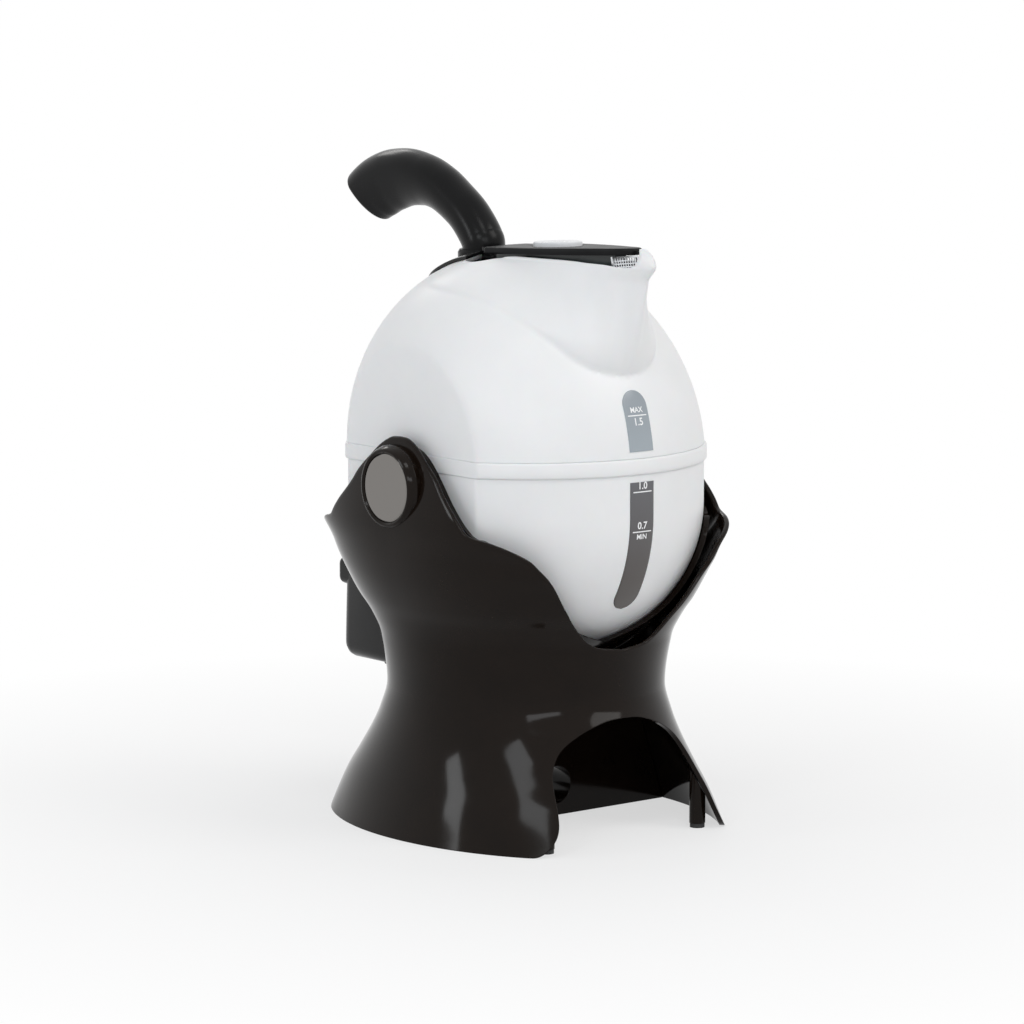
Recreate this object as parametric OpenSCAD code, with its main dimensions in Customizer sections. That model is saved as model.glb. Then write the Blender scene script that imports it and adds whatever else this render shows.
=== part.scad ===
// Tilt-to-pour kettle: an egg-shaped kettle in a cup that tips inside an hour-glass stand.
// Millimetres. The origin is on the floor under the kettle's axis, +Z is up, the spout points
// along -Y, and the kettle tips about an axis along X.

/* [Kettle] */
// Radius of the upper shell at its foot
dome_r = 80; // [79:0.25:80.5]
// Height of the upper shell above the belt's middle, were it not opened
dome_h = 88.5; // [87:0.5:90]
// Rearward lean of the upper shell, as a share of its height
dome_lean = 0.075; // [0.05:0.005:0.09]
// Half the width across the flattened sides
flat_x = 65.3; // [64.5:0.1:65.5]
// Radius of the lower shell
bowl_r = 79.6; // [79:0.1:80]
// Height of the lower shell's straight band
bowl_straight = 19; // [17:0.5:21]
// Depth of the lower shell's round part, were it not cut off
bowl_round = 73; // [72:0.5:74]
// Radius of the flat base
base_r = 39.5; // [38:0.5:41]
// Wall of both kettle shells
shell_wall = 2.6; // [2.2:0.1:3]
// How far the belt stands out from the lower shell
belt_proud = 1.2; // [0.8:0.1:1.6]
// Height of the belt
belt_h = 7; // [6:0.5:8]
// Height of the belt's middle above the tilt axis
belt_rise = 11; // [10:0.5:12]

/* [Spout and mouth] */
// How far the spout's tip reaches in front of the axis
spout_reach = 88; // [87:0.1:89]
// Half-width of the mouth over its edge
mouth_half = 23; // [22.8:0.1:23.4]
// Height of the pouring beak above the mouth's edge
beak_rise = 4.1; // [3:0.1:5]

/* [Windows] */
// Half-width of the level windows
window_half = 6.7; // [6:0.1:7.5]
// Height of the upper window
upper_window_h = 26; // [22:0.5:28]
// Height of the lower window
lower_window_h = 57.5; // [54:0.5:58.5]
// Gap between each window and the belt
window_gap = 3.2; // [2.5:0.1:4]
// How far the windows stand out
window_proud = 0.3; // [0.1:0.05:0.4]

/* [Lid and button] */
// Half-width of the lid and of the cover behind it
lid_half = 20; // [19:0.25:20.5]
// Distance from the axis to the lid's nose
lid_reach = 76.8; // [74:0.2:77]
// Thickness of the lid's top
lid_t = 3; // [2.6:0.1:3.4]
// Half-width of the lid button
button_x = 10; // [9:0.25:11]
// Half-length of the lid button
button_y = 13; // [12:0.25:14]
// How far the button stands above the lid
button_proud = 3.2; // [2.6:0.1:3.6]
// How far the button goes down
button_travel = 2.2; // [1.6:0.1:2.4]

/* [Handle] */
// Radius of the handle's tube
handle_r = 9.7; // [9:0.1:10.2]
// Depth of the finger swell under the grip
swell_h = 20; // [17:0.5:21]
// How far the handle's end reaches behind the axis
handle_reach = 121; // [117:0.5:123]
// Height of the grip's middle above the handle's foot
handle_rise = 41.5; // [39:0.5:43]

/* [Cradle] */
// Gap between the kettle and the cradle
cup_gap = 0.65; // [0.5:0.05:0.75]
// Wall of the cradle
cup_wall = 2.6; // [2.2:0.1:2.8]
// Radius round the tilt axis inside which the cradle's sides are flat
cheek_r = 47.5; // [47:0.25:48]
// Radius of the tilt pins
pin_r = 6.5; // [6:0.1:7]
// Radial clearance of the pins in their bushes
pin_fit = 0.05; // [0.03:0.01:0.08]

/* [Switch housing] */
// Half-width of the housing behind the stand
housing_half = 18; // [16:0.5:20]
// Distance from the axis to the housing's rear face
housing_back = 112.5; // [110:0.5:114]
// Height of the housing
housing_h = 47; // [44:0.5:48]
// Half-width of the rocker switch
rocker_half = 8; // [7:0.25:9]
// Height of the rocker switch
rocker_h = 15; // [13:0.5:16]

/* [Stand] */
// Height of the tilt axis above the floor
pivot_z = 156; // [154:0.5:158]
// Wall of the stand
stand_wall = 2.4; // [2.1:0.1:2.6]
// Half-width of the stand at the floor
foot_x = 77.4; // [75:0.2:79]
// Half-length of the stand at the floor
foot_y = 104.4; // [101:0.2:107]
// Half-width of the stand at its waist
waist_x = 61.2; // [60.6:0.2:63]
// Half-length of the stand at its waist
waist_y = 64.4; // [63.4:0.2:67]
// Height of the waist
waist_z = 62.6; // [60:0.2:64]
// Half-length of the stand at its shoulders
shoulder_y = 97.5; // [96:0.5:100]
// Room between the cradle's side and the stand's ear at the tilt axis
ear_room = 4.6; // [4.3:0.1:5]
// Height of the ears above the tilt axis
ear_rise = 21.3; // [20.6:0.1:23]
// Depth of the front and rear dips of the rim below the tilt axis
dip_drop = 71.8; // [70:0.2:73]
// Height of the front and rear arches
arch_h = 54.5; // [51:0.5:56]

/* [Tilt bosses] */
// Radius of a boss where it leaves the ear
bezel_r = 18.8; // [18:0.1:19]
// How far a boss stands out from the ear at the tilt axis
bezel_proud = 4.4; // [3.8:0.1:5]
// Radius of a boss's bright cap
cap_r = 15.1; // [14:0.1:15.6]

/* [Cross web and feet] */
// Thickness of the cross web
web_t = 16.6; // [15:0.2:18]
// Height of the cross web
web_h = 58; // [54:0.5:60]
// Half-width of the hole through the web
hole_half = 19.4; // [17:0.2:21]
// Height of the hole through the web
hole_h = 17; // [15:0.5:18]
// Height of the hole's lower edge above the floor
hole_z = 5.4; // [4.8:0.2:7]
// Radius of the foot posts
post_r = 3.6; // [3.2:0.1:4]
// Height of the rubber feet
foot_h = 2; // [1.6:0.1:3]

/* [Hidden] */

$fn = 72;

// Gap between fixed pieces that seat in each other
seat = 0.1;
// Gap between moving pieces
run = 0.35;

// Heights that follow from the tilt axis
belt_z = pivot_z + belt_rise;
bowl_top = belt_z - belt_h / 2;
bowl_mid = bowl_top - bowl_straight;
base_z = bowl_mid - bowl_round * sqrt(1 - pow(base_r / bowl_r, 2));
apex_z = belt_z + dome_h;

// Outer face of the cradle's flat sides and inner face of the stand's ears
cheek_x = flat_x + cup_gap + cup_wall;
ear_x = cheek_x + ear_room + stand_wall;
boss_x = ear_x + bezel_proud;

// ---------------------------------------------------------------- curves

function mix(a, b, t) = a + (b - a) * t;

// Slope between keys i and i + 1 in column c
function rise(k, i, c) = (k[i + 1][c] - k[i][c]) / (k[i + 1][0] - k[i][0]);

// Slope at key i: the harmonic mean of its neighbours, so the curve never overshoots
function tangent(k, i, c) =
    i == 0 ? rise(k, 0, c) :
    i == len(k) - 1 ? rise(k, i - 1, c) :
    let (a = rise(k, i - 1, c), b = rise(k, i, c)) a * b > 0 ? 2 * a * b / (a + b) : 0;

function span(k, t, i = 0) = i >= len(k) - 2 || t <= k[i + 1][0] ? i : span(k, t, i + 1);

// Smooth curve through the keys [t, value, value, ...], held flat beyond its ends
function curve(k, t, c = 1) =
    let (
        i = span(k, t),
        w = k[i + 1][0] - k[i][0],
        u = min(max((t - k[i][0]) / w, 0), 1),
        v = 1 - u
    )
    k[i][c] * v * v * (1 + 2 * u) + k[i + 1][c] * u * u * (3 - 2 * u)
    + w * u * v * (tangent(k, i, c) * v - tangent(k, i + 1, c) * u);

// Larger of a and b, rounded over about k where they meet
function soft_max(a, b, k) = (a + b + sqrt(pow(a - b, 2) + k * k)) / 2;
function soft_min(a, b, k) = (a + b - sqrt(pow(a - b, 2) + k * k)) / 2;

// Triangles of a grid of n strips by m points that closes on itself both ways
function ring_faces(n, m) = [
    for (i = [0 : n - 1]) for (j = [0 : m - 1])
        let (a = i * m + j, b = i * m + (j + 1) % m)
        let (c = ((i + 1) % n) * m + j, d = ((i + 1) % n) * m + (j + 1) % m)
        each [[a, b, d], [a, d, c]]
];

// Triangles of n rings of m points each, closed by a flat face at both ends
function tube_faces(n, m) = concat(
    [
        for (i = [0 : n - 2]) for (j = [0 : m - 1])
            let (a = i * m + j, b = i * m + (j + 1) % m)
            each [[a, b, b + m], [a, b + m, a + m]]
    ],
    [[for (j = [m - 1 : -1 : 0]) j], [for (j = [0 : m - 1]) (n - 1) * m + j]]
);

// ---------------------------------------------------------------- stand

// Way from the foot to the waist: [height, width, length], each as a share
FLARE = [[0, 0, 0], [0.29, 0.36, 0.25], [0.47, 0.61, 0.47], [0.67, 0.83, 0.72], [0.8, 0.92, 0.86]];

// Way from the waist to the shoulders: [height, width, length, squareness]
SWELL = [
    [0, 0, 0, 0], [0.29, 0.16, 0.1, 0], [0.43, 0.33, 0.24, 0.2], [0.53, 0.53, 0.37, 0.4],
    [0.68, 0.78, 0.53, 0.6], [0.77, 0.88, 0.65, 0.7], [0.84, 0.94, 0.71, 0.8], [1, 1, 1, 1]
];

shoulder_z = pivot_z - 17.4;
shoulder_x = ear_x + 3.2;
kink_z = pivot_z - 17.6;
ear_z = pivot_z + ear_rise;
dip_z = pivot_z - dip_drop;

// Rows of the stand's outer surface: [height, half-width, half-length, squareness]
STAND_ROWS = concat(
    [for (r = FLARE) [waist_z * r[0], mix(foot_x, waist_x, r[1]), mix(foot_y, waist_y, r[2]), 2]],
    [
        for (r = SWELL) [
            mix(waist_z, shoulder_z, r[0]), mix(waist_x, shoulder_x, r[1]),
            mix(waist_y, shoulder_y, r[2]), 2 + r[3] / 2
        ]
    ],
    [[pivot_z, ear_x, shoulder_y + 3.8, 2.5], [ear_z + 1, ear_x - 3.6, shoulder_y + 3.8, 2.5]]
);

// Height of the rim: [angle from the side, share], where 1 is the ear's top, 0 the kink
// beside it and -1 the dip at the front and rear
RIM = [
    [0, 1], [5, 0.935], [8, 0.86], [10.6, 0.77], [13, 0.68], [15.5, 0.575], [17.7, 0.45],
    [20.5, 0.32], [23, 0.22], [25.3, 0.125], [28.8, 0], [35, -0.04], [41, -0.095],
    [48, -0.185], [52.5, -0.295], [57, -0.43], [61, -0.6], [66, -0.77], [72.5, -0.91],
    [78.5, -0.97], [90, -1]
];

// Lower edge: [grid line, angle from the side, share of the arch's height]
ARCH = [
    [0, 0, 0], [40, 44.5, 0], [43, 47.3, 0.03], [46, 49.6, 0.085], [49, 51.6, 0.158],
    [52, 52.6, 0.25], [55, 52.75, 0.367], [58, 52.8, 0.486], [61, 53.3, 0.587],
    [64, 54.9, 0.679], [68, 58.6, 0.782], [73, 65.4, 0.872], [79, 74, 0.947],
    [85, 83.6, 0.994], [90, 90, 1]
];

// Angles of the grid lines in one quarter
QUARTER = [
    0, 4, 8, 12, 16, 20, 24, 27, 28.8, 31, 36, 40, 43, 46, 49, 52, 55, 58, 61, 64, 68, 73, 79,
    85
];
HALF = concat(QUARTER, [90], [for (i = [len(QUARTER) - 1 : -1 : 1]) 180 - QUARTER[i]]);
ROUND = concat(HALF, [for (h = HALF) h + 180]);

// Angle from the nearest side, for an angle all the way round
function side_angle(h) = let (g = h % 180) g > 90 ? 180 - g : g;

function rim_z(g) =
    let (s = curve(RIM, g)) kink_z + s * (s > 0 ? ear_z - kink_z : kink_z - dip_z);
function edge_z(g) = arch_h * curve(ARCH, g, 2);

// Angle of grid line h at share t of its way up: it leans so as to meet the arch squarely
function line_angle(h, g, t) = h + (h % 180 > 90 ? -1 : 1) * (1 - t) * (curve(ARCH, g) - g);

// Point of the stand's surface at angle h and height z, set in by w
function stand_point(h, z, w) =
    let (
        n = curve(STAND_ROWS, z, 3),
        k = pow(pow(abs(cos(h)), n) + pow(abs(sin(h)), n), -1 / n)
    )
    [(curve(STAND_ROWS, z, 1) - w) * cos(h) * k, (curve(STAND_ROWS, z, 2) - w) * sin(h) * k, z];

STAND_STEPS = 12;

module stand_shell() {
    levels = [for (j = [0 : STAND_STEPS]) j / STAND_STEPS];
    points = [
        for (h = ROUND)
            let (g = side_angle(h), lo = edge_z(g), hi = rim_z(g))
            each concat(
                [for (t = levels) stand_point(line_angle(h, g, t), mix(lo, hi, t), 0)],
                [
                    for (t = levels)
                        stand_point(line_angle(h, g, 1 - t), mix(hi, lo, t), stand_wall)
                ]
            )
    ];
    color("#15130f") difference() {
        polyhedron(points, ring_faces(len(ROUND), 2 * (STAND_STEPS + 1)), convexity = 8);
        // Holes in the ears for the tilt bosses
        translate([0, 0, pivot_z]) rotate([0, 90, 0])
            cylinder(r = bezel_r + seat, h = 2 * ear_x + 20, center = true);
    }
}

// Inner half-width of the stand at height z
function inner_x(z) = curve(STAND_ROWS, z, 1) - stand_wall;

// Outline of the cross web, drawn in by e from the stand's walls
module web_outline(e, top) {
    steps = 12;
    polygon(concat(
        [for (i = [0 : steps]) let (z = top * i / steps) [inner_x(z) - e, z]],
        [for (i = [steps : -1 : 0]) let (z = top * i / steps) [e - inner_x(z), z]]
    ));
}

// Stadium shape of half-width a and height h, standing on z
module slot_outline(a, h, z) {
    translate([0, z + h / 2]) union() {
        square([2 * a - h, h], center = true);
        for (s = [-1, 1]) translate([s * (a - h / 2), 0]) circle(d = h);
    }
}

// Wall of the web and the gap left between it and the stand
web_wall = 2.4;
web_gap = 0.6;

module cross_web() {
    inside = web_t - 2 * web_wall;
    color("#15130f") rotate([90, 0, 0]) difference() {
        translate([0, 0, -web_t / 2]) linear_extrude(web_t) web_outline(web_gap, web_h);
        difference() {
            translate([0, -web_wall, -inside / 2]) linear_extrude(inside)
                web_outline(web_gap + web_wall, web_h);
            linear_extrude(web_t, center = true)
                slot_outline(hole_half + web_wall, hole_h + 2 * web_wall, hole_z - web_wall);
            // Solid floor pad under the middle
            translate([-rest_half, -1, -web_t / 2]) cube([2 * rest_half, hole_z + 1, web_t]);
        }
        linear_extrude(web_t + 2, center = true) slot_outline(hole_half, hole_h, hole_z);
    }
}

// Half-width of the web's solid floor pad
rest_half = 30;
// Places of the foot posts, as shares of the floor's half-width and half-length
post_x = foot_x - 33.7;
post_y = foot_y - 36.9;

function inner_y(z) = curve(STAND_ROWS, z, 2) - stand_wall;

// Height at which the stand's inner wall passes over the middle of a foot post
function post_top(z = 0) =
    let (u = post_x / inner_x(z), v = post_y / inner_y(z))
    u * u + v * v > 1 ? z : post_top(z + 0.25);

module at_posts() {
    for (sx = [-1, 1]) for (sy = [-1, 1]) translate([sx * post_x, sy * post_y, 0]) children();
}

module foot_posts() {
    top = post_top();
    a = inner_x(top);
    b = inner_y(top);
    // Outward normal of the wall over the post
    slope_x = (inner_x(top - 2) - inner_x(top + 2)) / 4;
    slope_y = (inner_y(top - 2) - inner_y(top + 2)) / 4;
    n = [
        post_x / (a * a), post_y / (b * b),
        post_x * post_x * slope_x / pow(a, 3) + post_y * post_y * slope_y / pow(b, 3)
    ];
    color("#15130f") for (sx = [0, 1]) for (sy = [0, 1]) mirror([sx, 0, 0]) mirror([0, sy, 0])
        difference() {
            translate([post_x, post_y, foot_h]) cylinder(r = post_r, h = top + 12, $fn = 32);
            translate([post_x, post_y, foot_h - 1]) cylinder(r = post_r / 2, h = 4, $fn = 32);
            // Sloping end that lies against the wall
            translate([post_x, post_y, top]) rotate([0, acos(n[2] / norm(n)), atan2(n[1], n[0])])
                translate([-40, -40, -1]) cube(80);
        }
}

module rubber_feet() {
    color("#26262a") at_posts() {
        cylinder(r = post_r - 0.3, h = foot_h, $fn = 32);
        translate([0, 0, foot_h]) cylinder(r = post_r / 2 - 0.05, h = 2.5, $fn = 32);
    }
}

// ---------------------------------------------------------------- tilt bosses

// Turns a shape drawn along Z so that it stands out from the +X ear, and copies it to -X
module both_ears() {
    for (side = [0, 1]) mirror([side, 0, 0])
        translate([0, 0, pivot_z]) rotate([0, 90, 0]) children();
}

bush_r = pin_r + 2.5;
hub_x = cheek_x + 1.6;
pocket_x = ear_x - 0.6;
cap_x = boss_x - 1.4;
washer_x = pocket_x + 0.4;
washer_t = 0.9;
thread_r = 1.55;

module pivot_bezels() {
    lip = cap_r + 2.4;
    color("#0e0e0f") both_ears() rotate_extrude() polygon([
        [bush_r + seat, hub_x], [bezel_r - 2, hub_x], [bezel_r, hub_x + 2], [bezel_r, ear_x + 0.6],
        [mix(bezel_r, lip, 0.55), boss_x - 2], [lip, boss_x - 0.9], [lip - 0.5, boss_x - 0.25],
        [lip - 1.1, boss_x], [cap_r + 0.9, boss_x], [cap_r + seat, boss_x - 0.7],
        [cap_r + seat, cap_x], [cap_r - 2, cap_x], [cap_r - 2, pocket_x],
        [bush_r + seat, pocket_x]
    ]);
}

module pivot_bushes() {
    color("#d8d4c8") both_ears() rotate_extrude() polygon([
        [pin_r + pin_fit, hub_x - 1], [bush_r + 1.6, hub_x - 1], [bush_r + 1.6, hub_x - seat],
        [bush_r, hub_x - seat], [bush_r, pocket_x], [pin_r + pin_fit, pocket_x]
    ]);
}

module boss_caps() {
    color("#c9cbcd") both_ears() rotate_extrude() polygon([
        [0, cap_x + seat], [cap_r, cap_x + seat], [cap_r, boss_x - 0.9], [cap_r - 0.7, boss_x - 0.5],
        [0, boss_x - 0.5]
    ]);
}

module pivot_pins() {
    color("#8f9396") both_ears() difference() {
        translate([0, 0, cheek_x]) cylinder(r = pin_r, h = washer_x - cheek_x);
        translate([0, 0, pocket_x - 4]) cylinder(r = thread_r + 0.05, h = 6);
    }
}

module pin_washers() {
    color("#b9bcbe") both_ears() translate([0, 0, washer_x]) difference() {
        cylinder(r = bush_r + 1.2, h = washer_t);
        translate([0, 0, -1]) cylinder(r = 2.1, h = washer_t + 2);
    }
}

module pin_screws() {
    color("#b9bcbe") both_ears() {
        translate([0, 0, pocket_x - 3.5]) cylinder(r = thread_r, h = 4);
        translate([0, 0, washer_x + washer_t]) difference() {
            cylinder(r = 3.4, h = 1.6);
            translate([0, 0, 1]) cube([0.8, 5, 1.4], center = true);
        }
        translate([0, 0, washer_x - 0.1]) cylinder(r = thread_r, h = washer_t + 0.3);
    }
}

// ---------------------------------------------------------------- lower shell and cradle

// Slope at which the edges of the flat sides fall away
cheek_fall = 0.45;

// Solid between the flattened sides, whose edges fall away round the tilt axis
module side_disc(half) {
    far = 140;
    fall = cheek_fall * (far - cheek_r);
    translate([0, 0, pivot_z]) rotate([0, 90, 0]) rotate_extrude($fn = 96) polygon([
        [0, -half], [cheek_r, -half], [far, fall - half], [far, half - fall], [cheek_r, half],
        [0, half]
    ]);
}

// Solid of the lower shell, grown by e and carried up to height top
module bowl(e, top) {
    steps = 14;
    low = asin((bowl_mid - base_z + e) / (bowl_round + e));
    intersection() {
        rotate_extrude($fn = 120) polygon(concat(
            [[0, base_z - e]],
            [
                for (i = [0 : steps]) let (a = low * (1 - i / steps))
                    [(bowl_r + e) * cos(a), bowl_mid - (bowl_round + e) * sin(a)]
            ],
            [[bowl_r + e, top], [0, top]]
        ));
        side_disc(flat_x + e);
    }
}

module lower_shell() {
    color("#eef0f2") difference() {
        bowl(0, bowl_top);
        bowl(-shell_wall, bowl_top + 1);
        translate([0, 0, base_z - 1]) cylinder(r = cover_r + seat, h = shell_wall + 2);
        window_cut(lower_window_z, lower_window_h, seat);
    }
}

cover_r = base_r - 5;
lower_window_z = bowl_top - window_gap - lower_window_h;
upper_window_z = belt_z + belt_h / 2 + window_gap;

// Upright slot in the front wall, from z up by h, grown by e
module window_cut(z, h, e) {
    half = window_half + e;
    translate([0, 0, z]) rotate([90, 0, 0]) linear_extrude(dome_r + 20) union() {
        translate([-half, half - e]) square([2 * half, h - half + 2 * e]);
        translate([0, half - e]) circle(r = half, $fn = 40);
    }
}

module lower_window() {
    color("#55595d") intersection() {
        difference() {
            bowl(window_proud, bowl_top);
            bowl(window_proud - shell_wall, bowl_top + 1);
        }
        window_cut(lower_window_z, lower_window_h, 0);
    }
}

module belt_ring() {
    edge = 0.8;
    r = bowl_r + belt_proud;
    color("#f2f3f5") intersection() {
        difference() {
            translate([0, 0, bowl_top]) rotate_extrude($fn = 120) polygon([
                [0, 0], [r - edge, 0], [r, edge], [r, belt_h - edge], [r - edge, belt_h],
                [0, belt_h]
            ]);
            intersection() {
                translate([0, 0, bowl_top - 1])
                    cylinder(r = bowl_r - shell_wall, h = belt_h + 2, $fn = 120);
                side_disc(flat_x - shell_wall);
            }
        }
        side_disc(flat_x + cup_gap / 2);
    }
}

// Rim of the cradle in front: [distance from the middle, height below the tilt axis]
CUP_RIM = [
    [0, -69], [9, -66.5], [20, -62.2], [33, -55], [44, -44], [52, -33], [58, -25], [66, -13.6],
    [80, -13.6]
];

// The cradle's ears, seen along the tilt axis: [distance from the axis, height]
CUP_EAR = [[0, 18], [8, 16.6], [14, 13.6], [19, 9.6], [25, 3.6], [32, -4], [40, -11.6], [50, -16]];

// Hollow neck behind the cradle: half-width, heights from the tilt axis and wall
neck_half = 15;
neck_top = -49;
neck_low = -60;
neck_wall = 3;
neck_side = 4;
neck_start = 50;

// Everything below the cradle's front rim, or its rear rim, which is raised to carry the neck
module below_rim(rear) {
    steps = 34;
    far = 80;
    raised = rear ? neck_top : -200;
    rotate([90, 0, 0]) translate([0, pivot_z, rear ? -200 : 0]) linear_extrude(200)
        polygon(concat(
            [[far, -200], [-far, -200]],
            [
                for (i = [-steps : steps]) let (x = far * i / steps)
                    [x, max(curve(CUP_RIM, abs(x)), abs(x) < neck_half + 8 ? raised : -200)]
            ]
        ));
}

module cup_ears() {
    steps = 16;
    far = CUP_EAR[len(CUP_EAR) - 1][0];
    for (side = [-1, 1]) translate([side * (cheek_x - 2), 0, pivot_z]) rotate([90, 0, 90])
        linear_extrude(14, center = true) polygon(concat(
            [[far, -60], [-far, -60]],
            [for (i = [-steps : steps]) let (y = far * i / steps) [y, curve(CUP_EAR, abs(y))]]
        ));
}

// Passage through the neck from y0 to y1
module neck_bore(y0, y1) {
    translate([neck_side - neck_half, y0, pivot_z + neck_low + neck_wall])
        cube([2 * (neck_half - neck_side), y1 - y0, neck_top - neck_low - 2 * neck_wall]);
}

module cradle_cup() {
    e = cup_gap + cup_wall;
    color("#0f0e0d") {
        difference() {
            intersection() {
                bowl(e, pivot_z + 40);
                union() {
                    below_rim(false);
                    below_rim(true);
                    cup_ears();
                }
            }
            bowl(cup_gap, pivot_z + 41);
            translate([0, 0, base_z - e - 1]) cylinder(r = connector_r, h = e + 2);
        }
        // Ring that the kettle stands on
        translate([0, 0, base_z - cup_gap]) difference() {
            cylinder(r = cover_r - 2, h = cup_gap - 0.05);
            translate([0, 0, -1]) cylinder(r = cover_r - 6, h = cup_gap + 2);
        }
        // Neck that reaches over the stand's rear rim to the switch housing
        difference() {
            translate([-neck_half, neck_start, pivot_z + neck_low])
                cube([2 * neck_half, housing_front - neck_start, neck_top - neck_low]);
            neck_bore(neck_start - 1, housing_front + 1);
            bowl(cup_gap + cup_wall / 2, pivot_z + 40);
        }
    }
}

connector_r = 20;
connector_h = 10;

module power_connector() {
    low = base_z - cup_gap - cup_wall;
    color("#1c1c1e") difference() {
        union() {
            translate([0, 0, low - 1]) cylinder(r = connector_r + 2.5, h = 1);
            translate([0, 0, low]) cylinder(r = connector_r - seat, h = cup_gap + cup_wall);
            translate([0, 0, base_z]) cylinder(r = connector_r - 4, h = connector_h);
        }
        translate([0, 0, base_z + 1]) difference() {
            cylinder(r = connector_r - 6, h = connector_h);
            cylinder(r = connector_r - 9, h = connector_h);
        }
        translate([0, 0, base_z + 1]) cylinder(r = 3, h = connector_h);
    }
}

// ---------------------------------------------------------------- switch housing

housing_front = 76;
housing_top = pivot_z + neck_top;
housing_z = housing_top - housing_h;
rocker_z = housing_top - 9;
rocker_y = housing_back - 3;

// Rounded upright block from y0 to y1, half as wide as half, from z0 to z1
module block(half, y0, y1, z0, z1, r) {
    translate([0, 0, z0]) linear_extrude(z1 - z0) union() {
        translate([-half, y0]) square([2 * half, y1 - y0 - r]);
        translate([r - half, y0]) square([2 * (half - r), y1 - y0]);
        for (s = [-1, 1]) translate([s * (half - r), y1 - r]) circle(r = r, $fn = 40);
    }
}

module switch_housing() {
    wall = 2.5;
    corner = 5;
    color("#171616") difference() {
        block(housing_half, housing_front, housing_back, housing_z, housing_top, corner);
        block(housing_half - wall, housing_front + wall, housing_back - wall,
            housing_z + wall, housing_top - wall, corner - 1.5);
        // Opening towards the neck
        neck_bore(housing_front - 1, housing_front + wall + 1);
        // Opening for the rocker
        translate([-rocker_half - run, rocker_y - 6, rocker_z - rocker_h / 2 - run])
            cube([2 * (rocker_half + run), 12, rocker_h + 2 * run]);
        translate([0, housing_back - 5, lens_z]) rotate([-90, 0, 0]) cylinder(r = lens_r + seat, h = 8);
        translate([0, gland_y, housing_z - 1]) cylinder(r = gland_r + seat, h = wall + 2);
    }
    // Cheeks that carry the rocker's pin
    color("#171616") for (s = [-1, 1]) translate([s * (rocker_half + 2), rocker_y - 4, rocker_z])
        difference() {
            cube([2.4, 8, 10], center = true);
            rotate([0, 90, 0]) cylinder(r = rocker_pin_r + 0.06, h = 6, center = true, $fn = 32);
        }
}

rocker_pin_r = 1.4;
lens_z = rocker_z - 16;
lens_r = 2.2;
gland_y = housing_front + 19;
gland_r = 6;

// Rocker with two faces that meet in a ridge; it lies tipped, lower end out
module rocker_switch() {
    h = rocker_h / 2 - 0.2;
    color("#1d1d1f") {
        translate([0, rocker_y - 4, rocker_z]) rotate([-7, 0, 0]) {
            rotate([90, 0, 90]) linear_extrude(2 * rocker_half, center = true) polygon([
                [-2.6, -3.5], [1, -h + 1.4], [7.6, 0.6 - h], [8.2, 1.6 - h], [6.9, 0], [8.2, h - 1.6],
                [7.6, h - 0.6], [1, h - 1.4], [-2.6, 3.5]
            ]);
            rotate([0, 90, 0]) cylinder(r = rocker_pin_r, h = 2 * rocker_half + 6, center = true, $fn = 32);
        }
    }
}

module indicator_lens() {
    color("#c8641e") translate([0, 0, lens_z]) {
        translate([0, housing_back - 4, 0]) rotate([-90, 0, 0]) cylinder(r = lens_r, h = 4.5);
    }
}

module cord_gland() {
    color("#232323") translate([0, gland_y, housing_z]) difference() {
        union() {
            cylinder(r = gland_r, h = 4.5);
            translate([0, 0, -3]) cylinder(r1 = gland_r - 0.5, r2 = gland_r + 1.2, h = 2.9);
        }
        translate([0, 0, -4]) cylinder(r = 3.4, h = 10);
    }
}

// ---------------------------------------------------------------- upper shell

// Where the spout's wall leaves the dome: [angle from the spout, height above the apex]
CREASE = [
    [0, -49.8], [5, -49.2], [10.3, -47.8], [18.7, -42.8], [27.5, -34.6], [40, -25.6], [56.4, -19],
    [78.5, -15.8], [101, -14.5], [125, -12], [180, -9]
];

// Radius of the mouth's edge: [angle from the spout, share of the way to the spout's tip]
RIM_SHARE = [
    [0, 1], [1, 0.984], [2, 0.956], [3.2, 0.913], [5, 0.841], [8, 0.722], [12, 0.561],
    [16, 0.443], [21, 0.332], [27, 0.237], [34, 0.158], [41, 0.102], [47, 0.067], [55, 0.034],
    [67, 0.008], [84, 0], [102, -0.03], [110, -0.05], [117, -0.07], [123, -0.094], [131, -0.127],
    [146, -0.152], [163, -0.17], [180, -0.178]
];

// Rise of the spout's wall: [angle from the spout, power]
WALL_POWER = [[0, 0.8], [10, 0.9], [16, 1.1], [27, 1.25], [50, 1.35], [100, 1.3], [130, 1]];

// How the wall swells between its foot and the lip: [angle from the spout, distance]
BULGE = [
    [0, 0.5], [3, 1.6], [5, 3], [8, 5.2], [12, 6.8], [16, 6.4], [21, 4.8], [27, 3.2], [34, 1.6],
    [45, 0.4], [56, 0]
];

// How far the lip flares out at the top: [angle from the spout, distance]
FLARE_OUT = [[0, 4], [3, 4], [8, 2], [16, 1], [27, 0.5], [50, 0]];

// How far the spout's tip curls back: [height above the apex, distance]
CURL = [[-4.4, 0], [-2, 0.25], [1, 2.4], [3.2, 5.2], [4.2, 7.6]];
// Depth below the apex at which the wall has reached the radius of the mouth's edge
rim_depth = 1.5;
// Depth below the apex at which the lip begins to flare
lip_low = 8.5;
// Height over which the dome turns into the spout's wall
crease_h = 3;
// Angles between which the spout's wall fades into the dome
fade_from = 95;
fade_to = 125;

// Depth of the mouth's edge below the apex: [angle from the spout, depth]
MOUTH = [
    [0, -beak_rise], [1, -beak_rise + 0.4], [2.2, -1.4], [3.4, 1.9], [5, 2.4], [8.7, 1.4],
    [17.5, 0.6], [37, 0.5], [60, 1.3], [90, 3.2], [113, 3.2], [130, 1.5], [150, 0.9],
    [180, 0.7]
];

function dome_y(z) = dome_lean * (z - belt_z);

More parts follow.
